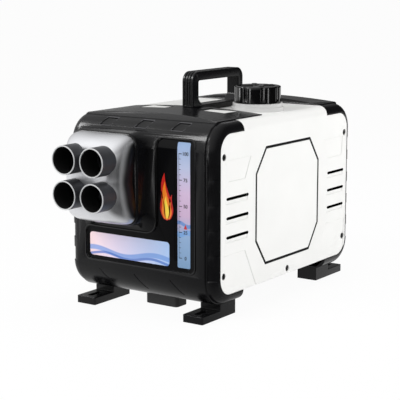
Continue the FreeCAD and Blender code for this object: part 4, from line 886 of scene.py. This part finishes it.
# A bar is y low, y high, z low and z high around the middle of its key.
minus = (-1.9, 1.9, -0.3, 0.3)
KEY_BARS = {"power": [(-0.3, 0.3, 0.4, 2.6)],
            "up": [minus, (-0.3, 0.3, 0.3, 1.9), (-0.3, 0.3, -1.9, -0.3)],
            "down": [minus],
            "set": [(-1.6, 1.6, 1.1, 1.6), (-1.6, 1.6, -1.6, -1.1), (-1.6, -1.1, -1.08, 1.08),
                    (1.1, 1.6, -1.08, 1.08)]}
for key, bars in KEY_BARS.items():
    low, high = box_mm("button_" + key)
    y, z = ((low + high) / 2)[1:]
    points, faces = plates(box_corners(bars) + [y, z], low[0], SIGN_PROUD, 0)
    if key == "power":
        ring_points, ring_faces = sign_ring(low[0], y, z)
        faces = np.concatenate([faces, ring_faces + len(points)])
        points = np.concatenate([points, ring_points])
    make_piece("sign_" + key, points, faces, [white_ink], body="key_" + key)
print("signs:", list(KEY_BARS))

# %% [markdown]
# The side screws are low pan heads with a cross recess. A disc of rings is domed, and the two
# bars of the cross press it down. All heads are one piece, as the screws are one solid group.

# %% Screw heads
SCREW_FACE, SCREW_R, SCREW_HEIGHT = box_mm("side_screws")[1][0], 4.7, 1.6
SCREWS = [(-173.0, 66.0), (-173.0, 234.5), (173.0, 66.0), (173.0, 234.5), (0.0, 45.5)]
DOME_DROP, CROSS_DEPTH, CROSS_HALF, CROSS_REACH = 0.7, 0.9, 0.75, 2.7
CROSS_SIDE, CROSS_END = 0.25, 0.4


def cross_bar(across, along):
    """1 on a bar of the cross, falling to 0 over its sloping sides and ends."""
    return ramp(CROSS_HALF - np.abs(across), CROSS_SIDE) * ramp(CROSS_REACH - np.abs(along), CROSS_END)


def pan_head(y, z, side, rings=28, columns=48):
    """Height = dome minus CROSS_DEPTH where a point lies on a bar of the cross, closed by a flat back."""
    s = np.linspace(0, 1, rings)[:, None]
    angle = circle(columns)[None, :]
    u, v = SCREW_R * s * np.cos(angle), SCREW_R * s * np.sin(angle)
    cross = np.maximum(cross_bar(u, v), cross_bar(v, u))
    face = np.stack([SCREW_FACE - DOME_DROP * s ** 4 - CROSS_DEPTH * cross, u, v], axis=-1)
    rim = np.stack([np.full((1, columns), SCREW_FACE - SCREW_HEIGHT), u[-1:], v[-1:]], axis=-1)
    back = rim * [1, 0, 0]
    points = np.concatenate([face, rim, back]).reshape(-1, 3)
    return (points + [0, y, z]) * [side, 1, 1], grid_faces(rings + 2, columns, wrap=True)


heads = [pan_head(y, z, side) for y, z in SCREWS for side in (1, -1)]
head_points = np.concatenate([points for points, faces in heads])
head_faces = np.concatenate([faces + number * len(points) for number, (points, faces) in enumerate(heads)])
head_piece = make_piece("screw_heads", head_points, head_faces, [black_steel])
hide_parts("side_screws")
print("screw heads:", len(heads))

# %% [markdown]
# The studio starts with a pale floor. To the camera it shows as white, while a small share of its
# own shading keeps the heater's soft shadow. Shiny finishes mirror a floor that is bright at the
# left and falls to dark at the right front, as beside a black flag.

# %% Floor
FLOOR_REACH, FLOOR_Z, FLOOR_SHOWN = 80.0, -0.0002, 0.95
FLAG_SIDE, FLAG_FROM, FLAG_TO, FLAG_LEVEL = (0.82, -0.57, 0), 0.02, 0.36, 0.02


def floor_finish():
    """Pale paint. For rays from the camera and from mirrors it glows: white for the camera, and for mirrors a
    level that falls from 1 to FLAG_LEVEL along FLAG_SIDE."""
    finish, tree, shader, place = start_finish("pale_floor", "#f4f4f4", 0.6)
    rays = add(tree, "LightPath", {})
    across = add(tree, "VectorMath", {"operation": "DOT_PRODUCT", 0: place, 1: FLAG_SIDE})
    mirrored = add(tree, "MapRange", {"From Min": FLAG_FROM, "From Max": FLAG_TO, "To Min": 1.0,
                                      "To Max": FLAG_LEVEL, "Value": across.outputs["Value"]})
    level = add(tree, "Mix", {"data_type": "FLOAT", 0: rays.outputs["Is Camera Ray"],
                              2: mirrored.outputs["Result"], 3: 1.0})
    glow = add(tree, "Emission", {"Color": (1, 1, 1, 1), "Strength": level.outputs[0]})
    seen = add(tree, "Math", {"operation": "MAXIMUM", 0: rays.outputs["Is Camera Ray"],
                              1: rays.outputs["Is Glossy Ray"]})
    share = add(tree, "Math", {"operation": "MULTIPLY", 0: seen.outputs[0], 1: FLOOR_SHOWN})
    both = add(tree, "MixShader", {0: share.outputs[0], 1: shader.outputs[0], 2: glow.outputs[0]})
    tree.links.new(both.outputs[0], tree.nodes["Material Output"].inputs["Surface"])
    return finish


floor_mesh = bpy.data.meshes.new("floor")
floor_corners = [(x * FLOOR_REACH, y * FLOOR_REACH, FLOOR_Z) for x, y in ((-1, -1), (1, -1), (1, 1), (-1, 1))]
floor_mesh.from_pydata(floor_corners, [], [(0, 1, 2, 3)])
floor_mesh.materials.append(floor_finish())
place_object("floor", floor_mesh)
print("floor, half side in metres:", FLOOR_REACH)

# %% [markdown]
# The surround is white to the camera and gives an even, plain fill. In mirrors it is brightest at
# the upper left front and dark at the right, as in a studio with one large window, because that
# is what draws the silver hood.

# %% Surround
WINDOW_SIDE, WINDOW_FROM, WINDOW_TO = (-0.56, -0.64, 0.53), -0.35, 0.95
WINDOW_DARK, WINDOW_BRIGHT, FILL = 0.02, 1.3, 0.5


def studio_surround():
    """World of strength 1 for the camera, FILL for plain light, and for mirrors a ramp along WINDOW_SIDE."""
    world = bpy.data.worlds.new("studio")
    world.use_nodes = True
    world.cycles.sampling_method = "NONE"
    sky = world.node_tree
    rays = add(sky, "LightPath", {})
    seen = add(sky, "Math", {"operation": "MAXIMUM", 0: rays.outputs["Is Camera Ray"],
                             1: rays.outputs["Is Transmission Ray"]})
    way = add(sky, "TexCoord", {}).outputs["Generated"]
    slope = add(sky, "VectorMath", {"operation": "DOT_PRODUCT", 0: way, 1: WINDOW_SIDE})
    mirrored = add(sky, "MapRange", {"From Min": WINDOW_FROM, "From Max": WINDOW_TO,
                                     "To Min": WINDOW_DARK, "To Max": WINDOW_BRIGHT,
                                     "Value": slope.outputs["Value"]})
    ambient = add(sky, "Mix", {"data_type": "FLOAT", 0: rays.outputs["Is Glossy Ray"], 2: FILL,
                               3: mirrored.outputs["Result"]})
    level = add(sky, "Mix", {"data_type": "FLOAT", 0: seen.outputs[0], 2: ambient.outputs[0], 3: 1.0})
    sky.nodes["Background"].inputs["Color"].default_value = (1, 1, 1, 1)
    sky.links.new(level.outputs[0], sky.nodes["Background"].inputs["Strength"])
    return world


bpy.context.scene.world = studio_surround()
print("fill of the surround:", FILL)

# %% [markdown]
# Three soft boxes light the heater: a large key from the upper left front, one for the white side,
# and a top light. They are kept out of the mirrors, where the surround already glows, so that no
# hot spot burns on the silver.

# %% Lamps
def soft_box(name, place, target, size, watts):
    """Rectangular area lamp at a place, turned to face a target."""
    lamp = bpy.data.lights.new(name, "AREA")
    lamp.shape = "RECTANGLE"
    lamp.size, lamp.size_y = size
    lamp.energy = watts
    thing = place_object(name, lamp)
    thing.location = place
    thing.rotation_euler = (Vector(target) - Vector(place)).to_track_quat("-Z", "Y").to_euler()
    thing.visible_glossy = False
    return thing


soft_box("key", (-0.9, -1.7, 1.3), (0, 0, 0.17), (1.1, 0.9), 26)
soft_box("side", (1.9, 0.35, 0.8), (0, 0, 0.17), (1.0, 1.2), 17)
soft_box("top", (0.1, 0.2, 1.9), (0, 0, 0.2), (1.2, 1.2), 9)
print("soft boxes:", len(bpy.data.lights))

# %% [markdown]
# Black plastic is drawn by its highlights alone. Five strips shine on black mouldings only, as a
# photographer would flag them off from the silver: an upright one in front for the edges, one high
# at the left for the brow, one behind for the rims, and one at each side for the round cap alone.

# %% Strip lights for the black mouldings
black_pieces = bpy.data.collections.new("black_mouldings")
round_pieces = bpy.data.collections.new("round_mouldings")
for piece in [soft[node] for node in EDGES_MM if node not in ("right_shell", "left_shell")] + [cap]:
    black_pieces.objects.link(piece)
round_pieces.objects.link(cap)
for name, place, target, size, watts, lit in (
        ("front_strip", (-0.05, -1.05, 0.32), (0.05, -0.2, 0.17), (0.10, 0.62), 1.6, black_pieces),
        ("brow_strip", (-1.22, -1.15, 1.55), (0.03, -0.19, 0.26), (1.2, 0.45), 42.0, black_pieces),
        ("rim_strip", (-1.1, 1.4, 1.25), (0, -0.1, 0.28), (1.2, 0.25), 0.9, black_pieces),
        ("left_strip", (-1.3, -0.55, 0.36), (0, 0, 0.25), (0.14, 0.7), 2.4, round_pieces),
        ("right_strip", (1.3, -0.1, 0.36), (0.07, 0, 0.25), (0.09, 0.7), 1.6, round_pieces)):
    strip = soft_box(name, place, target, size, watts)
    strip.visible_glossy = True
    strip.visible_diffuse = False
    strip.visible_camera = False
    strip.light_linking.receiver_collection = lit

# %% [markdown]
# The camera is the one solved from the photograph's straight edges: its place, turn, tilt and
# lens are fixed numbers, so that each line of the render falls on the line of the picture.

# %% Camera
AZIMUTH, PITCH, CAMERA_PLACE = math.radians(34.627), math.radians(10.157), (1.0855, -1.6155, 0.4854)
FOCAL_PX, FRAME_PX, SENSOR_MM = 1271.353, 400, 36.0
lens = bpy.data.cameras.new("camera")
lens.sensor_width = SENSOR_MM
lens.lens = FOCAL_PX * SENSOR_MM / FRAME_PX
lens.clip_end = 50
camera = place_object("camera", lens)
camera.location = CAMERA_PLACE
camera.rotation_euler = (math.pi / 2 - PITCH, 0, AZIMUTH)
bpy.context.scene.camera = camera
bpy.context.scene.view_settings.view_transform = "Standard"
print("lens:", round(lens.lens, 1), "mm")
